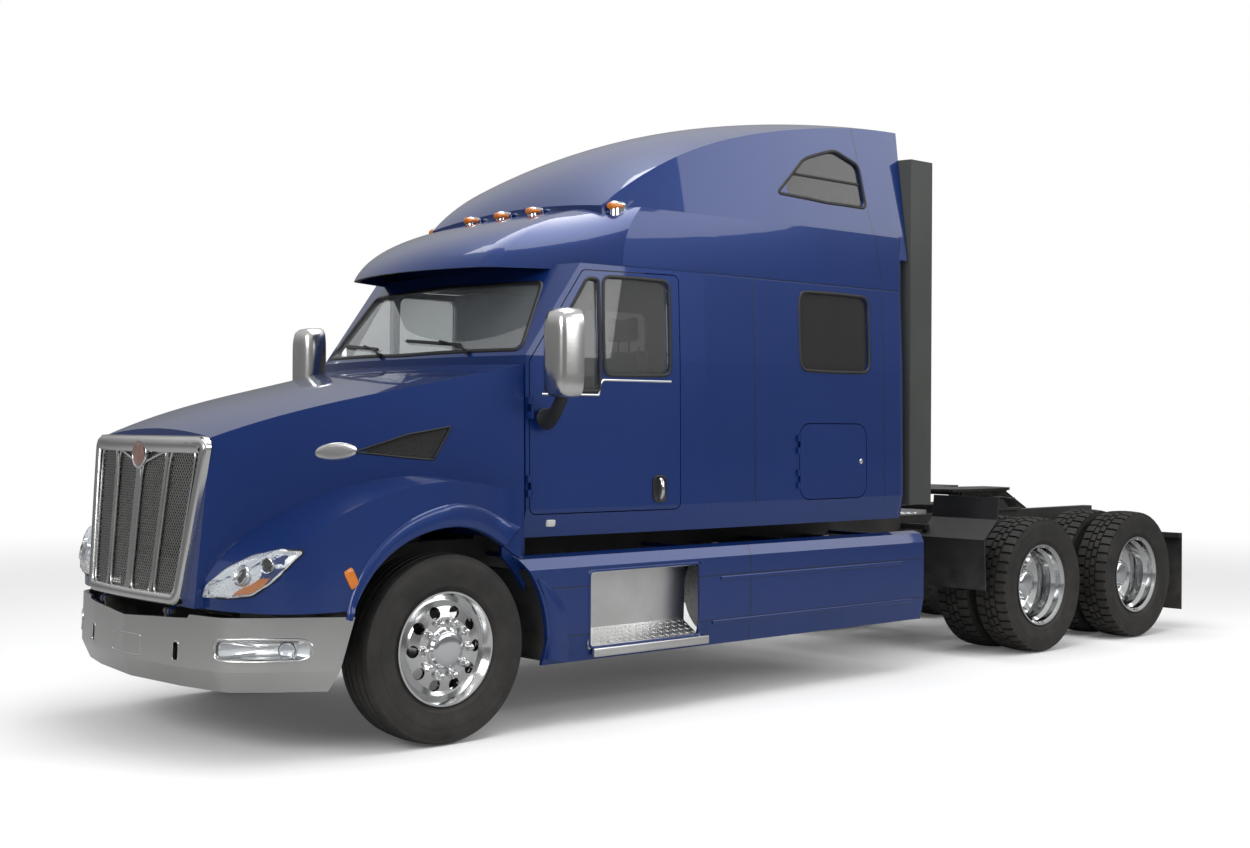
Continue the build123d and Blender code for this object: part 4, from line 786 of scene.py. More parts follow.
def drive_tyres():
    """Twin tyres with two centre ribs and deep cross grooves that part the shoulder lugs."""
    pattern = tyre(0.0, 0.0, DRIVE_GROOVES, LUG_STEPS)
    editing(pattern)
    pick_faces(pattern, cross_groove)
    bpy.ops.mesh.extrude_region_shrink_fatten(
        TRANSFORM_OT_shrink_fatten={"value": -LUG_DEPTH, "use_even_offset": False})
    bpy.ops.object.mode_set(mode="OBJECT")
    for number, y in enumerate(DRIVE_AXLE_YS, 1):
        for side, sign in SIDES:
            made = fused([copied(pattern, Matrix.Translation((sign * x, y, 0))) for x in TWIN_TYRE_XS])
            done(made, f"lugged_tyres_{number}_{side}", f"drive_wheels_{number}_{side}", "rubber",
                 30)
            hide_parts(f"drive_tyres_{number}_{side}")
    bpy.data.objects.remove(pattern)


# ---------------------------------------------------------------- wheel fittings
NUT_CIRCLE = 0.1425
NUT_COUNT = 10
STEER_FACE_X = STEER_TYRE_X + 0.1035
DRIVE_FACE_X = 0.930
STEER_HUB = ((0.0, 0.112), (0.006, 0.112), (0.009, 0.104), (0.012, 0.0985), (0.020, 0.0955), (0.0305, 0.083),
             (0.0335, 0.062), (0.0355, 0.034), (0.036, 0.0002))
DRIVE_HUB = ((0.0, 0.121), (0.004, 0.121), (0.006, 0.110), (0.110, 0.1095), (0.128, 0.104), (0.150, 0.086),
             (0.156, 0.070), (0.158, 0.040), (0.159, 0.0002))


def trim_wheel(name, body, x, sign, y, nut_length, hub):
    """Tall plated covers over a wheel's nuts, and its hub cover."""
    flange = ((0.0, 0.026825), (0.004, 0.026825), (0.007, 0.021275), (0.010, 0.0185))
    dome = ((0.80, 0.01702), (0.93, 0.01295), (1.0, 0.00592), (1.01, 0.0001))
    profile = [*flange, *((nut_length * d, r) for d, r in dome)]
    nut = turned((x, y, AXLE_Z + NUT_CIRCLE), X_AXIS, [(sign * d, r) for d, r in profile], 14)
    centre = Matrix.Translation((0, y, AXLE_Z))
    spins = [Matrix.Rotation((0.5 + n) * 2 * math.pi / NUT_COUNT, 4, "X") for n in range(NUT_COUNT)]
    nuts = fused([copied(nut, centre @ spin @ centre.inverted()) for spin in spins])
    bpy.data.objects.remove(nut)
    done(nuts, name.format("nut_covers"), body, "rim", 50)
    cover = turned((x, y, AXLE_Z), X_AXIS, [(sign * d, r) for d, r in hub], 48)
    done(cover, name.format("hub_cover"), body, "chrome", 50)


def wheel_trim():
    for side, sign in SIDES:
        trim_wheel(f"steer_{{}}_{side}", f"front_wheel_{side}", sign * STEER_FACE_X, sign, FRONT_AXLE_Y, 0.050,
                   STEER_HUB)
        for number, y in enumerate(DRIVE_AXLE_YS, 1):
            trim_wheel(f"drive_{{}}_{number}_{side}", f"drive_wheels_{number}_{side}", sign * DRIVE_FACE_X,
                       sign, y, 0.052, DRIVE_HUB)


# ---------------------------------------------------------------- grille
GRILLE_FOOT = (aft(-1.150), 0.745)
GRILLE_TOP = (aft(-1.062), 1.640)
GRILLE_LEAN = (GRILLE_TOP[0] - GRILLE_FOOT[0]) / (GRILLE_TOP[1] - GRILLE_FOOT[1])
WIRE_WIDTH, WIRE_THICK = 0.0046, 0.0024
WIRE_RISE = 0.028
WIRE_SLOPE = 1.25
WIRES_EACH_WAY = 66
BADGE_Z = 1.505


def on_grille(x, z, ahead=0.0):
    """A point of the bowed, leaning grille face, some way ahead of the hood's front wall."""
    bow = 0.055 * (1 - (x / 0.70) ** 2)
    return (x, GRILLE_FOOT[0] + GRILLE_LEAN * (z - GRILLE_FOOT[1]) - bow - ahead, z)


def wire_rings(points, lean):
    """The rings of one flat wire through (x, z) points, leaning one way or the other."""
    across = Vector((WIRE_WIDTH / 2 * 0.78, 0, -WIRE_WIDTH / 2 * 0.62 * lean))
    out = Vector((0, -WIRE_THICK / 2, 0))
    for x, z in points:
        centre = Vector(on_grille(x, z, 0.0015 * lean - 0.002))
        yield [centre + across + out, centre - across + out, centre - across - out, centre + across - out]


def grille_panels():
    """Four panels of crossed wire, bowed with the grille."""
    edges = ((-0.560, -0.474), (-0.300, -0.260), (0.0, 0.0), (0.300, 0.260), (0.560, 0.474))
    low, high = 0.800, 1.535
    builder = bmesh.new()
    for (left_high, left_low), (right_high, right_low) in zip(edges, edges[1:]):
        x_low, x_high = min(left_high, left_low), max(right_high, right_low)
        for lean in (1, -1):
            for number in range(WIRES_EACH_WAY):
                start = low - (0.36 if lean > 0 else 0.0) + number * WIRE_RISE
                inside = []
                for x in evenly(x_low, x_high, 40):
                    z = start + WIRE_SLOPE * lean * (x - x_low)
                    share = (z - low) / (high - low)
                    left = left_low + (left_high - left_low) * share
                    right = right_low + (right_high - right_low) * share
                    if low <= z <= high and left <= x <= right:
                        inside.append((x, z))
                if len(inside) >= 4:
                    kept = [inside[round(i * (len(inside) - 1) / 6)] for i in range(7)]
                    wrap(builder, wire_rings(kept, lean))
    made = done(from_bmesh(builder), "woven_grille", "hood_assembly", "wire", 20)
    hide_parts("grille_mesh")


def grille_rims():
    """Narrow bright rims round the wire panels, and the rim round the blank disc."""
    low, high, notch = 0.802, 1.528, 1.455
    rims = []
    for corners in (((-0.472, low), (-0.272, low), (-0.318, high), (-0.556, high)),
                    ((-0.238, low), (-0.026, low), (-0.026, notch), (-0.284, high)),
                    ((0.026, low), (0.238, low), (0.284, high), (0.026, notch)),
                    ((0.272, low), (0.472, low), (0.556, high), (0.318, high))):
        points = [on_grille(ax + (bx - ax) * share, az + (bz - az) * share, 0.012)
                  for (ax, az), (bx, bz) in zip(corners, corners[1:] + corners[:1])
                  for share in (0.07, 0.35, 0.65, 0.93)]
        rims.append(tube(points, 0.007, 8, True))
    done(fused(rims), "grille_panel_rims", "hood_assembly", "surround", 60)
    ring = [on_grille(0.078 * c, BADGE_Z + 0.072 * s, 0.024) for c, s in polar(16)]
    done(tube(ring, 0.007, 8, True), "badge_ring", "hood_assembly", "chrome", 60)
    disc = rounded(drum(on_grille(0, BADGE_Z, 0.027), 0.070, 0.006, 40, 0.060), 0.002)
    done(disc, "blank_badge", "hood_assembly", "enamel", 40)


# ---------------------------------------------------------------- the visor's dark underside
def visor_skin():
    """The visor with its own shading kept and its inner faces in black plastic."""
    twin = nodes["visor"].copy()
    twin.data = nodes["visor"].data.copy()
    for stale in [label for label in twin.keys() if label.startswith("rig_")]:
        del twin[stale]
    twin.name = twin.data.name = "visor_skin"
    bpy.context.scene.collection.objects.link(twin)
    line_with(twin.data, "plastic", lambda _, normal: normal.z < -0.25 or normal.y > 0.6)
    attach(twin, "chassis")
    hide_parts("visor")


# ---------------------------------------------------------------- glazing rubbers and trim
VENT = aft_points((0.735, 1.86), (0.735, 2.04), (1.025, 2.49), (1.105, 2.49), (1.105, 1.87))
SIDE_WINDOW = aft_points((1.15, 1.96), (1.15, 2.51), (1.63, 2.51), (1.63, 1.97))
BUNK_WINDOW = aft_points((2.776, 2.03), (3.44, 2.03), (3.44, 2.52), (2.776, 2.52))
ROOF_WINDOW = aft_points((2.63, 3.15), (2.90, 3.39), (3.20, 3.48), (3.43, 3.41), (3.47, 3.13))
SCREEN = [(-0.985, 2.085), (0.985, 2.085), (0.850, 2.478), (-0.850, 2.478)]
SILL_TRIMS = (aft_points((1.10, 1.835), (1.12, 1.925), (1.64, 1.925)), aft_points((0.70, 1.838), (1.10, 1.838)))
WINDOW_BAR = aft_points((2.740, 3.292), (3.445, 3.285))
DOOR_BODY = "cab_door_{side}"


def glazing():
    door, wall = skin("door_left"), skin("sleeper_shell", "roof_cap")
    for name, outline, radius, meet, body in (
            ("vent_rubber", VENT, 0.025, door, DOOR_BODY),
            ("window_rubber", SIDE_WINDOW, 0.050, door, DOOR_BODY),
            ("bunk_window_rubber", BUNK_WINDOW, 0.070, wall, "chassis"),
            ("roof_window_rubber", ROOF_WINDOW, 0.050, wall, "chassis")):
        trim(name, meet, from_left, soft_outline(outline, radius), (0.022, 0.006), 0.011, body)
    for number, line in enumerate(SILL_TRIMS):
        trim(f"sill_trim_{number}", door, from_left, soft_outline(line, 0.03, closed=False), (0.016, 0.006),
             0.0, DOOR_BODY, "chrome", False)
    path = on_skin(skin("cab_shell"), from_front, soft_outline(SCREEN, 0.045), 0.012)
    done(swept(path, bead(0.026, 0.007)), "screen_rubber", "chassis", "seal", 60)
    trim("roof_window_bar", skin("sleeper_windows"), from_left, soft_outline(WINDOW_BAR, 0.01, closed=False),
         (0.020, 0.006), closed=False)


def wipers():
    """Two wipers parked along the foot of the windshield."""
    meet = skin("windshield", "cab_shell")

    def lies(x, z, out):
        place, normal = meet(*from_front(x, z))
        return place + normal * out

    parts = []
    for pivot_x, tip_x in ((0.62, 0.02), (-0.22, -0.80)):
        root = lies(pivot_x, 2.072, 0.012)
        elbow = lies(pivot_x * 0.85 + tip_x * 0.15, 2.10, 0.030)
        parts.append(tube([root, elbow, lies((pivot_x + tip_x) / 2, 2.135, 0.026)], 0.007, 8))
        parts.append(drum(root, 0.016, 0.03, 20, 0.013))
        xs = evenly(pivot_x * 0.80 + tip_x * 0.20, tip_x * 1.12 - pivot_x * 0.12, 9)
        blade = [(lies(x, z, 0.006), Vector((0, -0.8, 0.6))) for x, z in zip(xs, evenly(2.118, 2.16, 9))]
        parts.append(swept(blade, [(-0.006, -0.006), (0.006, -0.006), (0.009, 0.008), (-0.009, 0.008)], False))
    done(fused(parts), "wipers", "chassis", "plastic", 50)


# ---------------------------------------------------------------- mirrors
MIRROR_SHELL = (  # (behind the axle, middle x, half width, half height)
    (0.547, 1.335, 0.035, 0.150), (0.552, 1.332, 0.062, 0.190), (0.566, 1.327, 0.085, 0.219),
    (0.590, 1.322, 0.098, 0.236), (0.625, 1.320, 0.104, 0.243), (0.690, 1.320, 0.105, 0.245),
    (0.700, 1.320, 0.103, 0.243), (0.700, 1.320, 0.095, 0.235), (0.690, 1.320, 0.093, 0.233))
MIRROR_GLASS = ((0.690, 0.086, 0.0), (0.6955, 0.084, 0.002), (0.697, 0.070, 0.018))
MIRROR_ARM = (  # (x, behind the axle, z, half thickness up, half thickness along)
    (1.098, 0.702, 1.700, 0.062, 0.068), (1.130, 0.700, 1.705, 0.050, 0.056),
    (1.200, 0.688, 1.742, 0.034, 0.040), (1.262, 0.668, 1.795, 0.032, 0.038),
    (1.296, 0.652, 1.832, 0.034, 0.042))


def mirrors():
    """Tall plated shells on black arms, with a main glass and a wide-angle glass below it."""
    shell = [oval(Vector((x, aft(distance), 2.055)), X_AXIS, Z_AXIS, width, height, 40, 4.6)
             for distance, x, width, height in MIRROR_SHELL]
    for made, side in zip(both(lofted(shell), "mirror_shell", DOOR_BODY, "bumper", 50),
                          ("left", "right")):
        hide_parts(f"mirror_{side}")
    for name, height, z in (("mirror_main_glass", 0.150, 2.125), ("mirror_wide_glass", 0.062, 1.895)):
        rings = [oval(Vector((1.320, aft(distance), z)), X_AXIS, Z_AXIS, width, height - less, 40, 6.0)
                 for distance, width, less in MIRROR_GLASS]
        both(lofted(rings), name, DOOR_BODY, "mirror", 30)
    points = [Vector((x, aft(distance), z)) for x, distance, z, _, _ in MIRROR_ARM]
    rings = []
    for number, (*_, tall, wide) in enumerate(MIRROR_ARM):
        ahead = points[min(number + 1, len(points) - 1)] - points[max(number - 1, 0)]
        up = ahead.normalized().cross(Y_AXIS).normalized()
        rings.append(oval(points[number], Y_AXIS, up, wide, tall, 24))
    both(lofted(rings), "mirror_arm", DOOR_BODY, "plastic", 50)


# ---------------------------------------------------------------- lamps
LAMP = [(0.632, 0.804), (0.751, 0.807), (0.859, 0.814), (0.987, 0.832), (1.064, 0.892), (1.121, 0.968),
        (1.163, 1.052), (1.090, 1.054), (0.915, 1.015), (0.776, 0.950), (0.679, 0.860)]
LAMP_CORNER = ((0.985, 0.847), (1.060, 0.872), (1.114, 0.893), (1.115, 0.960), (1.114, 1.034), (1.060, 1.010),
               (1.000, 0.980))
TURN_LAMP = ((0.862, 0.826), (0.930, 0.834), (0.985, 0.845), (1.035, 0.880), (1.066, 0.922), (1.020, 0.918),
             (0.975, 0.885), (0.910, 0.858))
HOUSING = ((0.0, -0.004), (0.0, 0.012), (0.035, 0.012), (0.07, 0.0045), (0.30, 0.003), (0.60, 0.003),
           (0.95, 0.003))
LAMP_COVER = ((0.012, 0.009), (0.03, 0.018), (0.14, 0.027), (0.40, 0.031), (0.75, 0.032))
PROJECTOR = ((1.0, -0.012), (1.02, 0.014), (0.97, 0.019), (0.88, 0.017), (0.80, 0.007), (0.74, 0.005))
PROJECTOR_EYE = ((0.74, 0.004), (0.66, 0.010), (0.45, 0.015), (0.2, 0.0175))
BEHIND_THE_FENDER = -3.6


def headlamps():
    """A bright housing, two projectors and a turn lamp under a bowed clear cover, on the fender's face."""
    meet = skin("hood", "headlights")
    outline = soft_outline(LAMP, 0.02, 0.022)
    middle = centre_of(outline)

    def face(origin, _):
        """The skin on a ray from ahead, or on the nearest one inwards that meets it."""
        spot = Vector((origin[0], origin[2]))
        for _ in range(12):
            place, normal = meet(*from_front(*spot))
            if place is not None and place.y < BEHIND_THE_FENDER:
                return place, normal
            spot = spot.lerp(middle, 0.03)
        raise ValueError("no skin under the lamp")

    def raised(spot, up):
        place, normal = face(*from_front(*spot))
        return place + normal * up

    def rings(shares):
        return [[raised(point.lerp(middle, share), up) for point in outline] for share, up in shares]

    def island(shape, up):
        shape = [Vector(point) for point in shape]
        centre = centre_of(shape)
        return lofted([[raised(centre.lerp(point, share), 0.002 if share == 1.0 else up) for point in shape]
                       for share in (1.0, 0.92, 0.55, 0.15)])

    both(island(LAMP_CORNER, 0.003), "lamp_corner", "hood_assembly", "paint", 60)
    _, twin = both(lofted(rings(HOUSING)), "lamp_housing", "hood_assembly", "reflector", 75)
    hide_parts("headlights")
    trim("lamp_gasket", face, from_front, outline, (0.010, 0.010), 0.003, "hood_assembly")
    for number, (x, z, radius) in enumerate(((0.925, 0.925, 0.052), (1.052, 0.980, 0.038))):
        place, normal = face(*from_front(x, z))
        axis = (normal + Vector((0, -0.6, 0))).normalized()
        across = Z_AXIS.cross(axis).normalized()
        bezel, eye = ([oval(place + axis * d, across, axis.cross(across), radius * r, radius * r, 40)
                       for r, d in shape] for shape in (PROJECTOR, PROJECTOR_EYE))
        both(lofted(bezel, last_cap=False), f"projector_{number}", "hood_assembly", "chrome", 50)
        both(lofted(eye), f"projector_eye_{number}", "hood_assembly", "intake", 60)
    both(island(TURN_LAMP, 0.010), "turn_lamp", "hood_assembly", "amber", 40)
    cover = modifier(lofted(rings(LAMP_COVER), first_cap=False), "SOLIDIFY", thickness=0.0025, offset=-1.0)
    both(cover, "lamp_cover", "hood_assembly", "lens", 60)


def fog_lamp_fittings():
    """A bowl and a bezel behind each clear fog lamp, with the lamp at the outer end."""
    outline = soft_outline([(0.785, 0.505), (1.085, 0.505), (1.085, 0.605), (0.785, 0.605)], 0.045, 0.02)
    trim("fog_bezel", skin("front_bumper", "fog_lamps"), from_front, outline, (0.016, 0.006), 0.006, "chassis",
         "bumper")
    cover = skin("fog_lamps")
    front = [place for place, _ in on_skin(cover, from_front, outline, -0.006)]
    centre = centre_of(front)
    rings = [[point.lerp(centre, share) + Vector((-0.3 * back, back, 0)) for point in front]
             for share, back in ((0.0, 0.010), (0.08, 0.032), (0.4, 0.044), (0.85, 0.048))]
    bowl = modifier(lofted(rings, first_cap=False), "SOLIDIFY", thickness=0.002, offset=1.0)
    both(bowl, "fog_bowl", "chassis", "bumper", 50)
    place, normal = cover(*from_front(1.02, 0.555))
    across = Z_AXIS.cross(normal).normalized()
    rings = [oval(place + normal * deep, across, Z_AXIS, radius, radius, 28) for deep, radius in (
        (-0.040, 0.040), (-0.012, 0.043), (-0.010, 0.040), (-0.016, 0.036), (-0.026, 0.020))]
    both(lofted(rings), "fog_lamp_unit", "chassis", "chrome", 50)


def dome(place, normal, along, half_length, half_width, height, power):
    """A low moulded lens or plate on a skin."""
    along = (Vector(along) - normal * Vector(along).dot(normal)).normalized()
    across = normal.cross(along)
    levels = ((1.0, -0.004), (1.0, 0.35 * height), (0.93, 0.7 * height), (0.72, 0.93 * height), (0.35, height))
    return lofted([oval(place + normal * up, along, across, share * half_length, share * half_width, 28, power)
                   for share, up in levels])


def small_lamps():
    """Five amber lenses over the visor, a marker on each fender and a light over each step."""
    lamps = []
    for x, y, z in ((-0.911, 1.330, 2.955), (-0.320, 1.187, 2.968), (0.0, 1.187, 2.968), (0.320, 1.187, 2.968),
                    (0.911, 1.330, 2.955)):
        bulge = ((0.064, 0.037), (0.012, 0.037), (-0.005, 0.034), (-0.014, 0.020))
        lamps.append(lofted([oval(Vector((x, aft(y) + back, z)), X_AXIS, Z_AXIS, radius, 0.62 * radius, 24)
                             for back, radius in bulge]))
    done(fused(lamps), "marker_lamp_lenses", "chassis", "amber", 50)
    lamp = dome(*skin("hood")(*from_left(aft(-0.60), 0.905)), (0, -0.45, 0.9), 0.052, 0.027, 0.012, 6.0)
    both(lamp, "side_marker", "hood_assembly", "amber", 50)
    lamp = dome(*skin("cab_shell")(*from_left(aft(0.77), 1.12)), Y_AXIS, 0.032, 0.020, 0.008, 6.0)
    both(lamp, "step_light", "chassis", "frosted", 50)


# ---------------------------------------------------------------- round the front wheels
FLARE = ((0.0, None), (0.0, 0.2), (0.03, 0.8), (0.10, 1.0), (0.45, 0.92), (0.78, 0.80), (0.92, 0.55),
         (1.0, -0.10))  # (share of the width, share of the rise)
FLARE_RADIUS, FLARE_WIDTH, FLARE_RISE = 0.636, 0.125, 0.016
SKIRT_LIP = ((0.650, 1.150), (0.652, 1.196), (0.662, 1.207), (0.690, 1.209), (0.740, 1.207), (0.790, 1.198))


def round_wheel(x, radius, degrees):
    """A place round the front axle, by its angle from straight ahead."""
    a = math.radians(degrees)
    return Vector((x, FRONT_AXLE_Y - radius * math.cos(a), AXLE_Z + radius * math.sin(a)))


def fender_flares():
    """A raised painted band round the front wheel arches, on the hood's skin."""
    hood = skin("hood")
    rows = []
    for number in range(61):
        band = min(1.0, 0.25 + 1.1 * number / 60)
        row = []
        for share, height in FLARE:
            spot = round_wheel(1.2, FLARE_RADIUS + FLARE_WIDTH * band * share, 18 + 1.8 * number)
            place, normal = hood(*from_left(spot.y, spot.z))
            if place is None or place.x < 0.95:
                place, normal = spot, X_AXIS
            row.append(place + normal * (-0.030 if height is None else FLARE_RISE * height))
        rows.append(row)
    both(sheet(rows, 0.004), "fender_flare", "hood_assembly", "paint", 50)


def arch_guards():
    """Black guards behind the front wheels, curved round them, and the skirt's blue lip over each."""
    parts = [lofted([[round_wheel(x, 0.668, a) for a in range(146, 196, 5)]
                     + [round_wheel(x, 0.656, a) for a in range(191, 141, -5)] for x in (0.6, 0.8, 1.0, 1.15)])]
    for a in (154, 166, 178, 190):
        parts.append(tube([round_wheel(x, 0.658, a) for x in (0.61, 0.87, 1.14)], 0.006, 8))
    both(fused(parts), "splash_guard", "chassis", "plastic", 40)
    rows = []
    for a in range(150, 194, 4):
        band = min(1.0, 0.15 + (a - 150) / 20)
        rows.append([round_wheel(x, 0.650 + (radius - 0.650) * band, a) for radius, x in SKIRT_LIP])
    both(sheet(rows, 0.004), "skirt_flare", "chassis", "paint", 50)


# ---------------------------------------------------------------- valance, skirts, steps and deck
VALANCE = ((0.0, 0.430), (-0.012, 0.470), (0.0, 0.480), (-0.012, 0.520), (0.0, 0.530), (-0.012, 0.570),
           (0.0, 0.580), (-0.012, 0.620), (0.0, 0.630), (-0.010, 0.668), (0.004, 0.674), (0.012, 0.668),
           (0.012, 0.430))
LOZENGE = ((0.0125, 0), (0.005, 0.0038), (-0.005, 0.0038), (-0.0125, 0), (-0.005, -0.0038), (0.005, -0.0038))
STEP_OPENING = aft_points((0.936, 0.426), (1.794, 0.426), (1.794, 0.854), (0.936, 0.854))
TREAD_FRONT, TREAD_BACK = aft(0.945), aft(1.785)


def valance():
    """A ribbed black panel between the bumper's top and the frame, below the grille."""
    rings = [[Vector((x, -3.965 + 0.03 * (x / 0.6) ** 2 + d, z)) for d, z in VALANCE]
             for x in evenly(-0.94, 0.94, 24)]
    done(lofted(rings), "lower_valance", "chassis", "plastic", 30)


def skirt_ridges():
    """The two long ridges pressed into each skirt."""
    skirt = skin("chassis_fairings")
    for name, line in (("skirt_upper_ridge", aft_points((1.97, 0.752), (3.70, 0.752))),
                       ("skirt_lower_ridge", aft_points((1.90, 0.492), (3.80, 0.492)))):
        trim(name, skirt, from_left, soft_outline(line, 0.01, 0.05, closed=False), (0.026, 0.007), 0.0,
             "chassis", "paint", False)


def tread_marks(low, high, height, pitch):
    """Raised lozenges in alternate directions over a level rectangle."""
    builder = bmesh.new()
    columns, rows = (int((high[axis] - low[axis]) / pitch) for axis in (0, 1))
    for column in range(columns):
        for row in range(rows):
            x = low[0] + (column + 0.5) * (high[0] - low[0]) / columns
            y = low[1] + (row + 0.5) * (high[1] - low[1]) / rows
            turn = math.pi / 4 if (column + row) % 2 else -math.pi / 4
            c, s = math.cos(turn), math.sin(turn)
            wrap(builder, [[(x + c * a * size - s * b * size, y + s * a * size + c * b * size, height + up)
                            for a, b in LOZENGE] for size, up in ((1.0, -0.0005), (0.62, 0.0022))],
                 first_cap=False)
    return from_bmesh(builder)


def steps_and_deck():
    upper = tread_marks((1.052, TREAD_FRONT), (1.163, TREAD_BACK), 0.860, 0.028)
    lower = tread_marks((1.062, TREAD_FRONT), (1.196, TREAD_BACK), 0.434, 0.028)
    both(fused([upper, lower]), "step_treads", "chassis", "step", 20)
    kick = tread_marks((1.062, aft(0.955)), (1.186, TREAD_BACK), 0.0, 0.026)
    for vertex in kick.data.vertices:
        vertex.co.z += 0.512 - 0.62 * (vertex.co.x - 1.062)
    panel = lofted([[Vector((x, aft(d), z)) for x, z in (
        (1.055, 0.514), (1.062, 0.5115), (1.188, 0.4335), (1.188, 0.424), (1.055, 0.424))]
        for d in (0.945, 1.365, 1.785)])
    both(fused([panel, kick]), "kick_step", "chassis", "step", 20)
    lip = rounded(box((1.190, aft(0.96), 0.372), (1.216, aft(1.86), 0.421)), 0.006, 3)
    both(lip, "step_lip", "chassis", "step")
    strip = rounded(box((1.158, aft(0.935), 0.838), (1.172, aft(1.795), 0.866)), 0.004)
    both(strip, "step_strip", "chassis", "step")
    stations = [(Vector((1.2005, *point)), X_AXIS) for point in soft_outline(STEP_OPENING, 0.03)]
    both(swept(stations, bead(0.016, 0.005)), "step_surround", "chassis", "skirt_paint", 60)
    plate_top = min(v.co.z for v in nodes["tread_plates"].data.vertices if v.co.y > aft(4.05)) + 0.010
    deck = tread_marks((-0.42, aft(4.10)), (0.42, aft(4.92)), plate_top, 0.034)
    done(deck, "deck_tread", "chassis", "step", 20)


# ---------------------------------------------------------------- cab furniture
HANDLE_RECESS = aft_points((1.497, 1.215), (1.603, 1.215), (1.603, 1.375), (1.497, 1.375))
HATCH_LOCK = ((-0.002, 0.017), (0.003, 0.017), (0.005, 0.014), (0.005, 0.009), (0.002, 0.008), (0.002, 0.0002))


def door_handles():
    """A recessed grip on each door and a lock on each luggage hatch."""
    door = skin("door_left")
    path = on_skin(door, from_left, soft_outline(HANDLE_RECESS, 0.045, 0.012))
    normal = sum((n for _, n in path), Vector()).normalized()
    middle = centre_of([place for place, _ in path])
    rings = [[middle.lerp(place, share) + normal * up for place, _ in path] for share, up in (
        (1.0, -0.002), (1.0, 0.006), (0.94, 0.0085), (0.86, 0.006), (0.80, 0.0015))]
    both(lofted(rings, first_cap=False), "handle_recess", DOOR_BODY, "plastic", 50)
    grip = []
    for share in evenly(0.0, 1.0, 12):
        place, out = door(*from_left(aft(1.552), 1.238 + 0.116 * share))
        grip.append((place + out * (0.010 + 0.022 * max(0.0, math.sin(math.pi * share)) ** 0.6), out))
    section = [(0.013 * c, 0.007 * s) for c, s in polar(14)]
    both(swept(grip, section, False), "handle_grip", DOOR_BODY, "chrome", 60)
    place, _ = skin("luggage_door_left")(*from_left(aft(3.355), 1.435))
    both(turned(place, X_AXIS, HATCH_LOCK, 28), "hatch_lock", "hatch_{side}", "chrome", 50)


def hood_trim():
    """The rim of each intake and the blank oval plate ahead of it."""
    hood = skin("hood", "hood_vents")
    outline = soft_outline(aft_points((-0.35, 1.52), (0.07, 1.478), (0.17, 1.655), (-0.06, 1.61)), 0.014, 0.015)
    trim("intake_rim", hood, from_left, outline, (0.012, 0.004), 0.003, "hood_assembly")
    plate = dome(*hood(*from_left(aft(-0.445), 1.523)), (0, 1, 0.06), 0.112, 0.046, 0.007, 2.0)
    both(plate, "side_plate", "hood_assembly", "bumper", 40)


def grille_frame():
    """A rounded bright band over the flat surround, deep along its top."""
    face = skin("grille_surround")
    stations = []
    for x, z in soft_outline(((-0.506, 0.781), (0.506, 0.781), (0.622, 1.566), (-0.622, 1.566)), 0.045, 0.03):
        met, _ = face(*from_front(x, z))
        stations.append((Vector(on_grille(x, z)) if met is None else met, Vector((0, -1, 0.1))))
    done(swept(stations, bead(0.052, 0.016, 0.004, 10)), "grille_frame", "hood_assembly", "surround",
         60)
    rows = [[Vector(on_grille(x, z, up)) - Vector((0, 0.012, 0)) for x in evenly(-0.585, 0.585, 30)]
            for z, up in ((1.512, -0.002), (1.520, 0.012), (1.545, 0.022), (1.575, 0.022), (1.596, 0.010),
                          (1.602, -0.012))]
    done(sheet(rows, 0.006), "grille_top_band", "hood_assembly", "surround", 60)


def bumper_trim():
    face = skin("front_bumper")
    outline = soft_outline([(0.467, 0.479), (0.513, 0.479), (0.513, 0.571), (0.467, 0.571)], 0.018, 0.01)
    trim("tow_slot_rim", face, from_front, outline, (0.010, 0.003), 0.003, "chassis", "bumper")
    plate = soft_outline([(-0.165, 0.470), (0.165, 0.470), (0.165, 0.575), (-0.165, 0.575)], 0.012, 0.015)
    done(swept(on_skin(face, from_front, plate), bead(0.008, 0.003)), "plate_recess_rim", "chassis", "bumper",
         60)
    liner = [place for place, _ in on_skin(face, from_front, outline, 0.010)]
    middle = centre_of(liner)
    rings = [[middle.lerp(place, share) + Y_AXIS * back for place in liner]
             for share, back in ((1.0, 0.020), (1.0, 0.070), (0.2, 0.075))]
    both(lofted(rings, first_cap=False), "tow_slot_liner", "chassis", "plastic", 50)


# ---------------------------------------------------------------- seats
SEAT_PADS = (  # (name, side outline behind the axle, low x, high x, rounding)
    ("seat_cushion", ((1.345, 1.500), (1.345, 1.580), (1.400, 1.592), (1.690, 1.578), (1.700, 1.492)),
     0.215, 0.685, 0.030),
    ("seat_back", ((1.715, 1.530), (1.795, 2.140), (1.868, 2.140), (1.842, 1.760), (1.828, 1.530)),
     0.215, 0.685, 0.030),
    ("seat_headrest", ((1.800, 2.190), (1.818, 2.345), (1.862, 2.345), (1.872, 2.190)), 0.325, 0.575, 0.022))
SEAT_WELTS = (((1.352, 1.545), (1.356, 1.594), (1.42, 1.605), (1.55, 1.601), (1.68, 1.592), (1.705, 1.560)),
              ((1.712, 1.545), (1.722, 1.62), (1.745, 1.80), (1.772, 2.00), (1.790, 2.130), (1.810, 2.150)))
SWELL_CAP = 0.012
SWELL_FRAMES = 18


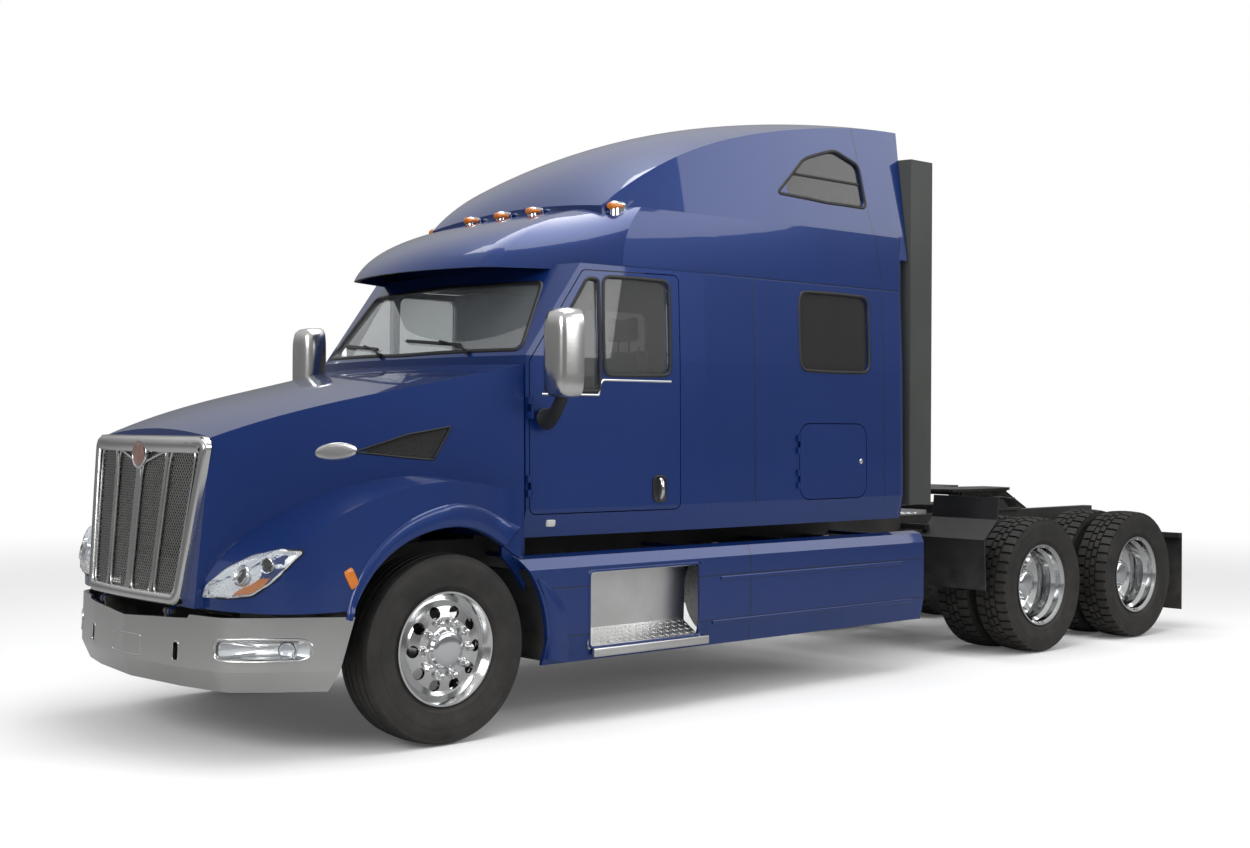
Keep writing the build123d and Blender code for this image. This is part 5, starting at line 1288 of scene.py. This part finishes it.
def stuffed(pad):
    """Swells a closed form under cloth with pressure inside it, no further than the cap."""
    take(pad)
    pad.data.remesh_voxel_size = 0.014
    bpy.ops.object.voxel_remesh()
    start = [vertex.co.copy() for vertex in pad.data.vertices]
    cover = pad.modifiers.new("cloth", "CLOTH")
    cover.settings.use_pressure = True
    cover.settings.uniform_pressure_force = 4.0
    cover.settings.effector_weights.gravity = 0.0
    for number in range(SWELL_FRAMES):
        bpy.context.scene.frame_set(number + 1)
    bpy.ops.object.modifier_apply(modifier=cover.name)
    bpy.context.scene.frame_set(1)
    for vertex, place in zip(pad.data.vertices, start):
        shift = vertex.co - place
        if shift.length > SWELL_CAP:
            vertex.co = place + shift * (SWELL_CAP / shift.length)
    return modifier(pad, "SUBSURF", levels=1)


def seats():
    """Air-ride seats: a crowned cushion, a bolstered back with a headrest, and a rubber bellows."""
    pads = [rounded(side_plate(aft_points(*outline), low, high), ease, 4, 30.0)
            for _, outline, low, high, ease in SEAT_PADS]
    for pad, (name, *_) in zip(pads, SEAT_PADS):
        for piece in both(stuffed(pad), name, "chassis", "cloth", 80):
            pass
    welts = [tube([(x, y, z) for y, z in aft_points(*line)], 0.004, 8)
             for x in (0.262, 0.638) for line in SEAT_WELTS]
    both(fused(welts), "seat_welts", "chassis", "interior", 60)
    rings = []
    for number, z in enumerate(evenly(1.125, 1.425, 14)):
        pinch = 0.012 if number % 2 else -0.012
        rings.append(oval(Vector((0.45, aft(1.58), z)), X_AXIS, Y_AXIS, 0.150 + pinch, 0.160 + pinch, 36, 4.0))
    both(lofted(rings), "seat_bellows", "chassis", "seal", 60)
    plates = [rounded(box((0.275, aft(1.76), 1.097), (0.625, aft(1.40), 1.125)), 0.008),
              rounded(box((0.240, aft(1.80), 1.425), (0.660, aft(1.365), 1.478)), 0.014)]
    posts = [tube([(x, aft(1.845), 2.08), (x, aft(1.842), 2.14), (x, aft(1.840), 2.21)], 0.006)
             for x in (0.4, 0.5)]
    both(fused(plates + posts), "seat_frame", "chassis", "interior")
    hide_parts("seats")


# ---------------------------------------------------------------- chassis fittings
CHAMBER = ((0.0, 0.001), (0.0, 0.55), (0.03, 0.80), (0.10, 0.90), (0.42, 0.92), (0.43, 1.0), (0.50, 1.0),
           (0.51, 0.92), (0.88, 0.90), (0.97, 0.72), (1.0, 0.40), (1.0, 0.001))
CHAMBER_LENGTH, CHAMBER_RADIUS, CHAMBER_LEAN = 0.19, 0.082, 0.10
SHOCK = ((0.400, 0.17, 0.470), (0.405, 0.20, 0.58), (0.410, 0.23, 0.70))
SHOCK_ROD = ((0.410, 0.23, 0.69), (0.413, 0.25, 0.77), (0.415, 0.27, 0.86))
BOLT = ((-0.002, 0.013), (0.002, 0.013), (0.006, 0.010), (0.008, 0.004), (0.0082, 0.0002))
TAIL_LENS = ((-0.002, 0.046), (0.008, 0.046), (0.011, 0.042), (0.009, 0.036), (0.013, 0.028), (0.016, 0.012),
             (0.0165, 0.0002))


def chamber(centre):
    """A brake chamber: two pressed cans with a clamp band, along Y."""
    profile = [(d * CHAMBER_LENGTH, r * CHAMBER_RADIUS) for d, r in CHAMBER]
    made = turned(centre, Y_AXIS, profile, 28)
    home = Matrix.Translation(centre)
    made.data.transform(home @ Matrix.Rotation(CHAMBER_LEAN, 4, "X") @ home.inverted())
    return made


def chassis_fittings():
    """Brake chambers, shock absorbers, the flap irons' bolts and the tail lamps' lenses."""
    chambers = [chamber((0.330, y - 0.36, 0.600)) for y in DRIVE_AXLE_YS]
    both(fused(chambers), "brake_chambers", "chassis", "chassis")
    shocks = [tube([(x, y + d, z) for x, d, z in line], radius, 12)
              for y in DRIVE_AXLE_YS for line, radius in ((SHOCK, 0.030), (SHOCK_ROD, 0.020))]
    both(fused(shocks), "rear_shocks", "chassis", "chassis")
    _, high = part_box("mudguards")
    bolts = [turned((x, high[1], 0.782), Y_AXIS, BOLT, 16) for x in (0.70, 0.80, 0.90, 1.00, 1.10, 1.17)]
    both(fused(bolts), "flap_bolts", "chassis", "chassis")
    low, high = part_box("tail_lights")
    lens = turned((high[0] - 0.055, high[1], (low[2] + high[2]) / 2), Y_AXIS, TAIL_LENS, 32)
    both(lens, "tail_lamp_lens", "chassis", "red")


def fifth_wheel_fittings():
    """The coupling's release handle: a rod and a loop."""
    low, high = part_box("fifth_wheel_plate")
    y = (low[1] + high[1]) / 2 - 0.10
    rod = tube([(high[0] + x, y, z) for x, z in ((-0.10, 1.120), (-0.02, 1.115), (0.10, 1.112), (0.16, 1.110))],
               0.009)
    loop = tube([(high[0] + x, y + d, 1.110) for x, d in ((0.16, 0), (0.19, -0.04), (0.235, 0), (0.19, 0.04))],
                0.007, cyclic=True)
    done(fused([rod, loop]), "release_handle", "coupling_plate", "chassis", 60)


# ---------------------------------------------------------------- camera, light and floor
CAMERA_PLACE = (7.913, -7.862, 1.668)
CAMERA_TURN = (48.26, -0.038, 0.287)  # yaw, pitch and roll in degrees
SOFT_BOXES = (  # (name, place, aim, width, height, power)
    ("ceiling_box", (0.5, -1.0, 8.5), (0, -1.0, 1), 5.0, 9.0, 560),
    ("key_box", (4.5, -11.5, 6.0), (0, -3.0, 1.5), 5.0, 4.0, 420),
    ("side_box", (9.5, 1.0, 4.5), (0, 1.0, 1.5), 7.0, 3.0, 200),
    ("sheen_box", (8.2, 6.6, 7.2), (0.9, -0.6, 3.2), 7.0, 3.4, 190))


def look_from():
    """The camera at its place, with its own turn."""
    yaw, pitch, roll = (math.radians(degrees) for degrees in CAMERA_TURN)
    forward = Vector((-math.sin(yaw) * math.cos(pitch), math.cos(yaw) * math.cos(pitch), -math.sin(pitch)))
    right = forward.cross(Z_AXIS).normalized()
    up = right.cross(forward)
    data = bpy.data.cameras.new("camera")
    data.lens = 45.67
    data.sensor_width = 36.0
    data.clip_end = 300.0
    camera = linked("camera", data)
    axes = Matrix((math.cos(roll) * right + math.sin(roll) * up, math.cos(roll) * up - math.sin(roll) * right,
                   -forward)).transposed()
    camera.matrix_world = Matrix.Translation(CAMERA_PLACE) @ axes.to_4x4()
    bpy.context.scene.camera = camera


def soft_boxes():
    for name, place, aim, width, height, power in SOFT_BOXES:
        light = bpy.data.lights.new(name, "AREA")
        light.shape = "RECTANGLE"
        light.size, light.size_y = width, height
        light.energy = power
        holder = linked(name, light)
        holder.location = place
        holder.rotation_euler = (Vector(aim) - Vector(place)).to_track_quat("-Z", "Y").to_euler()


def seen_by_camera(tree):
    """1 for what the camera sees, straight or through glass, and the ray's own outputs."""
    path = add(tree, "LightPath")
    return calc(tree, "MAXIMUM", path["Is Camera Ray"], path["Is Transmission Ray"]), path


def backdrop():
    """A white backdrop that lights the scene softly, more from above."""
    world = bpy.data.worlds.new("studio")
    bpy.context.scene.world = world
    world.use_nodes = True
    tree = world.node_tree
    tree.nodes.clear()
    seen, _ = seen_by_camera(tree)
    height = add(tree, "SeparateXYZ", {0: add(tree, "TexCoord")["Generated"]})["Z"]
    white = (1, 1, 1)
    lit = add(tree, "Background", {"Color": white, "Strength": fade(tree, height, -0.05, 0.65, 0.17, 0.62)})[0]
    shown = add(tree, "Background", {"Color": white, "Strength": 1.0})[0]
    joined = add(tree, "MixShader", {0: seen, 1: lit, 2: shown})[0]
    add(tree, "OutputWorld", {"Surface": joined})


def floor():
    """A pale floor that fades into the white backdrop."""
    let_go()
    bpy.ops.mesh.primitive_circle_add(vertices=96, radius=120, fill_type="NGON", location=(0, 0, -0.0005))
    made = settle()
    made.name = made.data.name = "studio_floor"
    finish = Finish("pale_floor", Roughness=0.85, Specular_IOR_Level=0.1)
    tree = finish.tree
    far = fade(tree, add(tree, "VectorMath", {0: finish.where}, operation="LENGTH")["Value"], 5.0, 16.0)
    pale = mixed(tree, noise(tree, finish.where, 1.5, 2.0), (0.93, 0.93, 0.93), (0.95, 0.95, 0.95))
    seen, path = seen_by_camera(tree)
    finish.set(Base_Color=mixed(tree, path["Is Glossy Ray"], pale, (0.34, 0.34, 0.34)))
    share = calc(tree, "MULTIPLY", seen, calc(tree, "MULTIPLY_ADD", far, 0.94, 0.06))
    finish.mix_in(share, add(tree, "Emission")[0])
    made.data.materials.append(finish.material)


# ---------------------------------------------------------------- build
for build in (steer_tyres, drive_tyres, wheel_trim, grille_panels, grille_rims, visor_skin, glazing, wipers,
              mirrors, headlamps, fog_lamp_fittings, small_lamps, fender_flares, arch_guards, valance,
              skirt_ridges, steps_and_deck, door_handles, hood_trim, grille_frame, bumper_trim, seats,
              chassis_fittings, fifth_wheel_fittings, look_from, backdrop, soft_boxes, floor):
    build()

bpy.context.scene.view_settings.view_transform = "Standard"
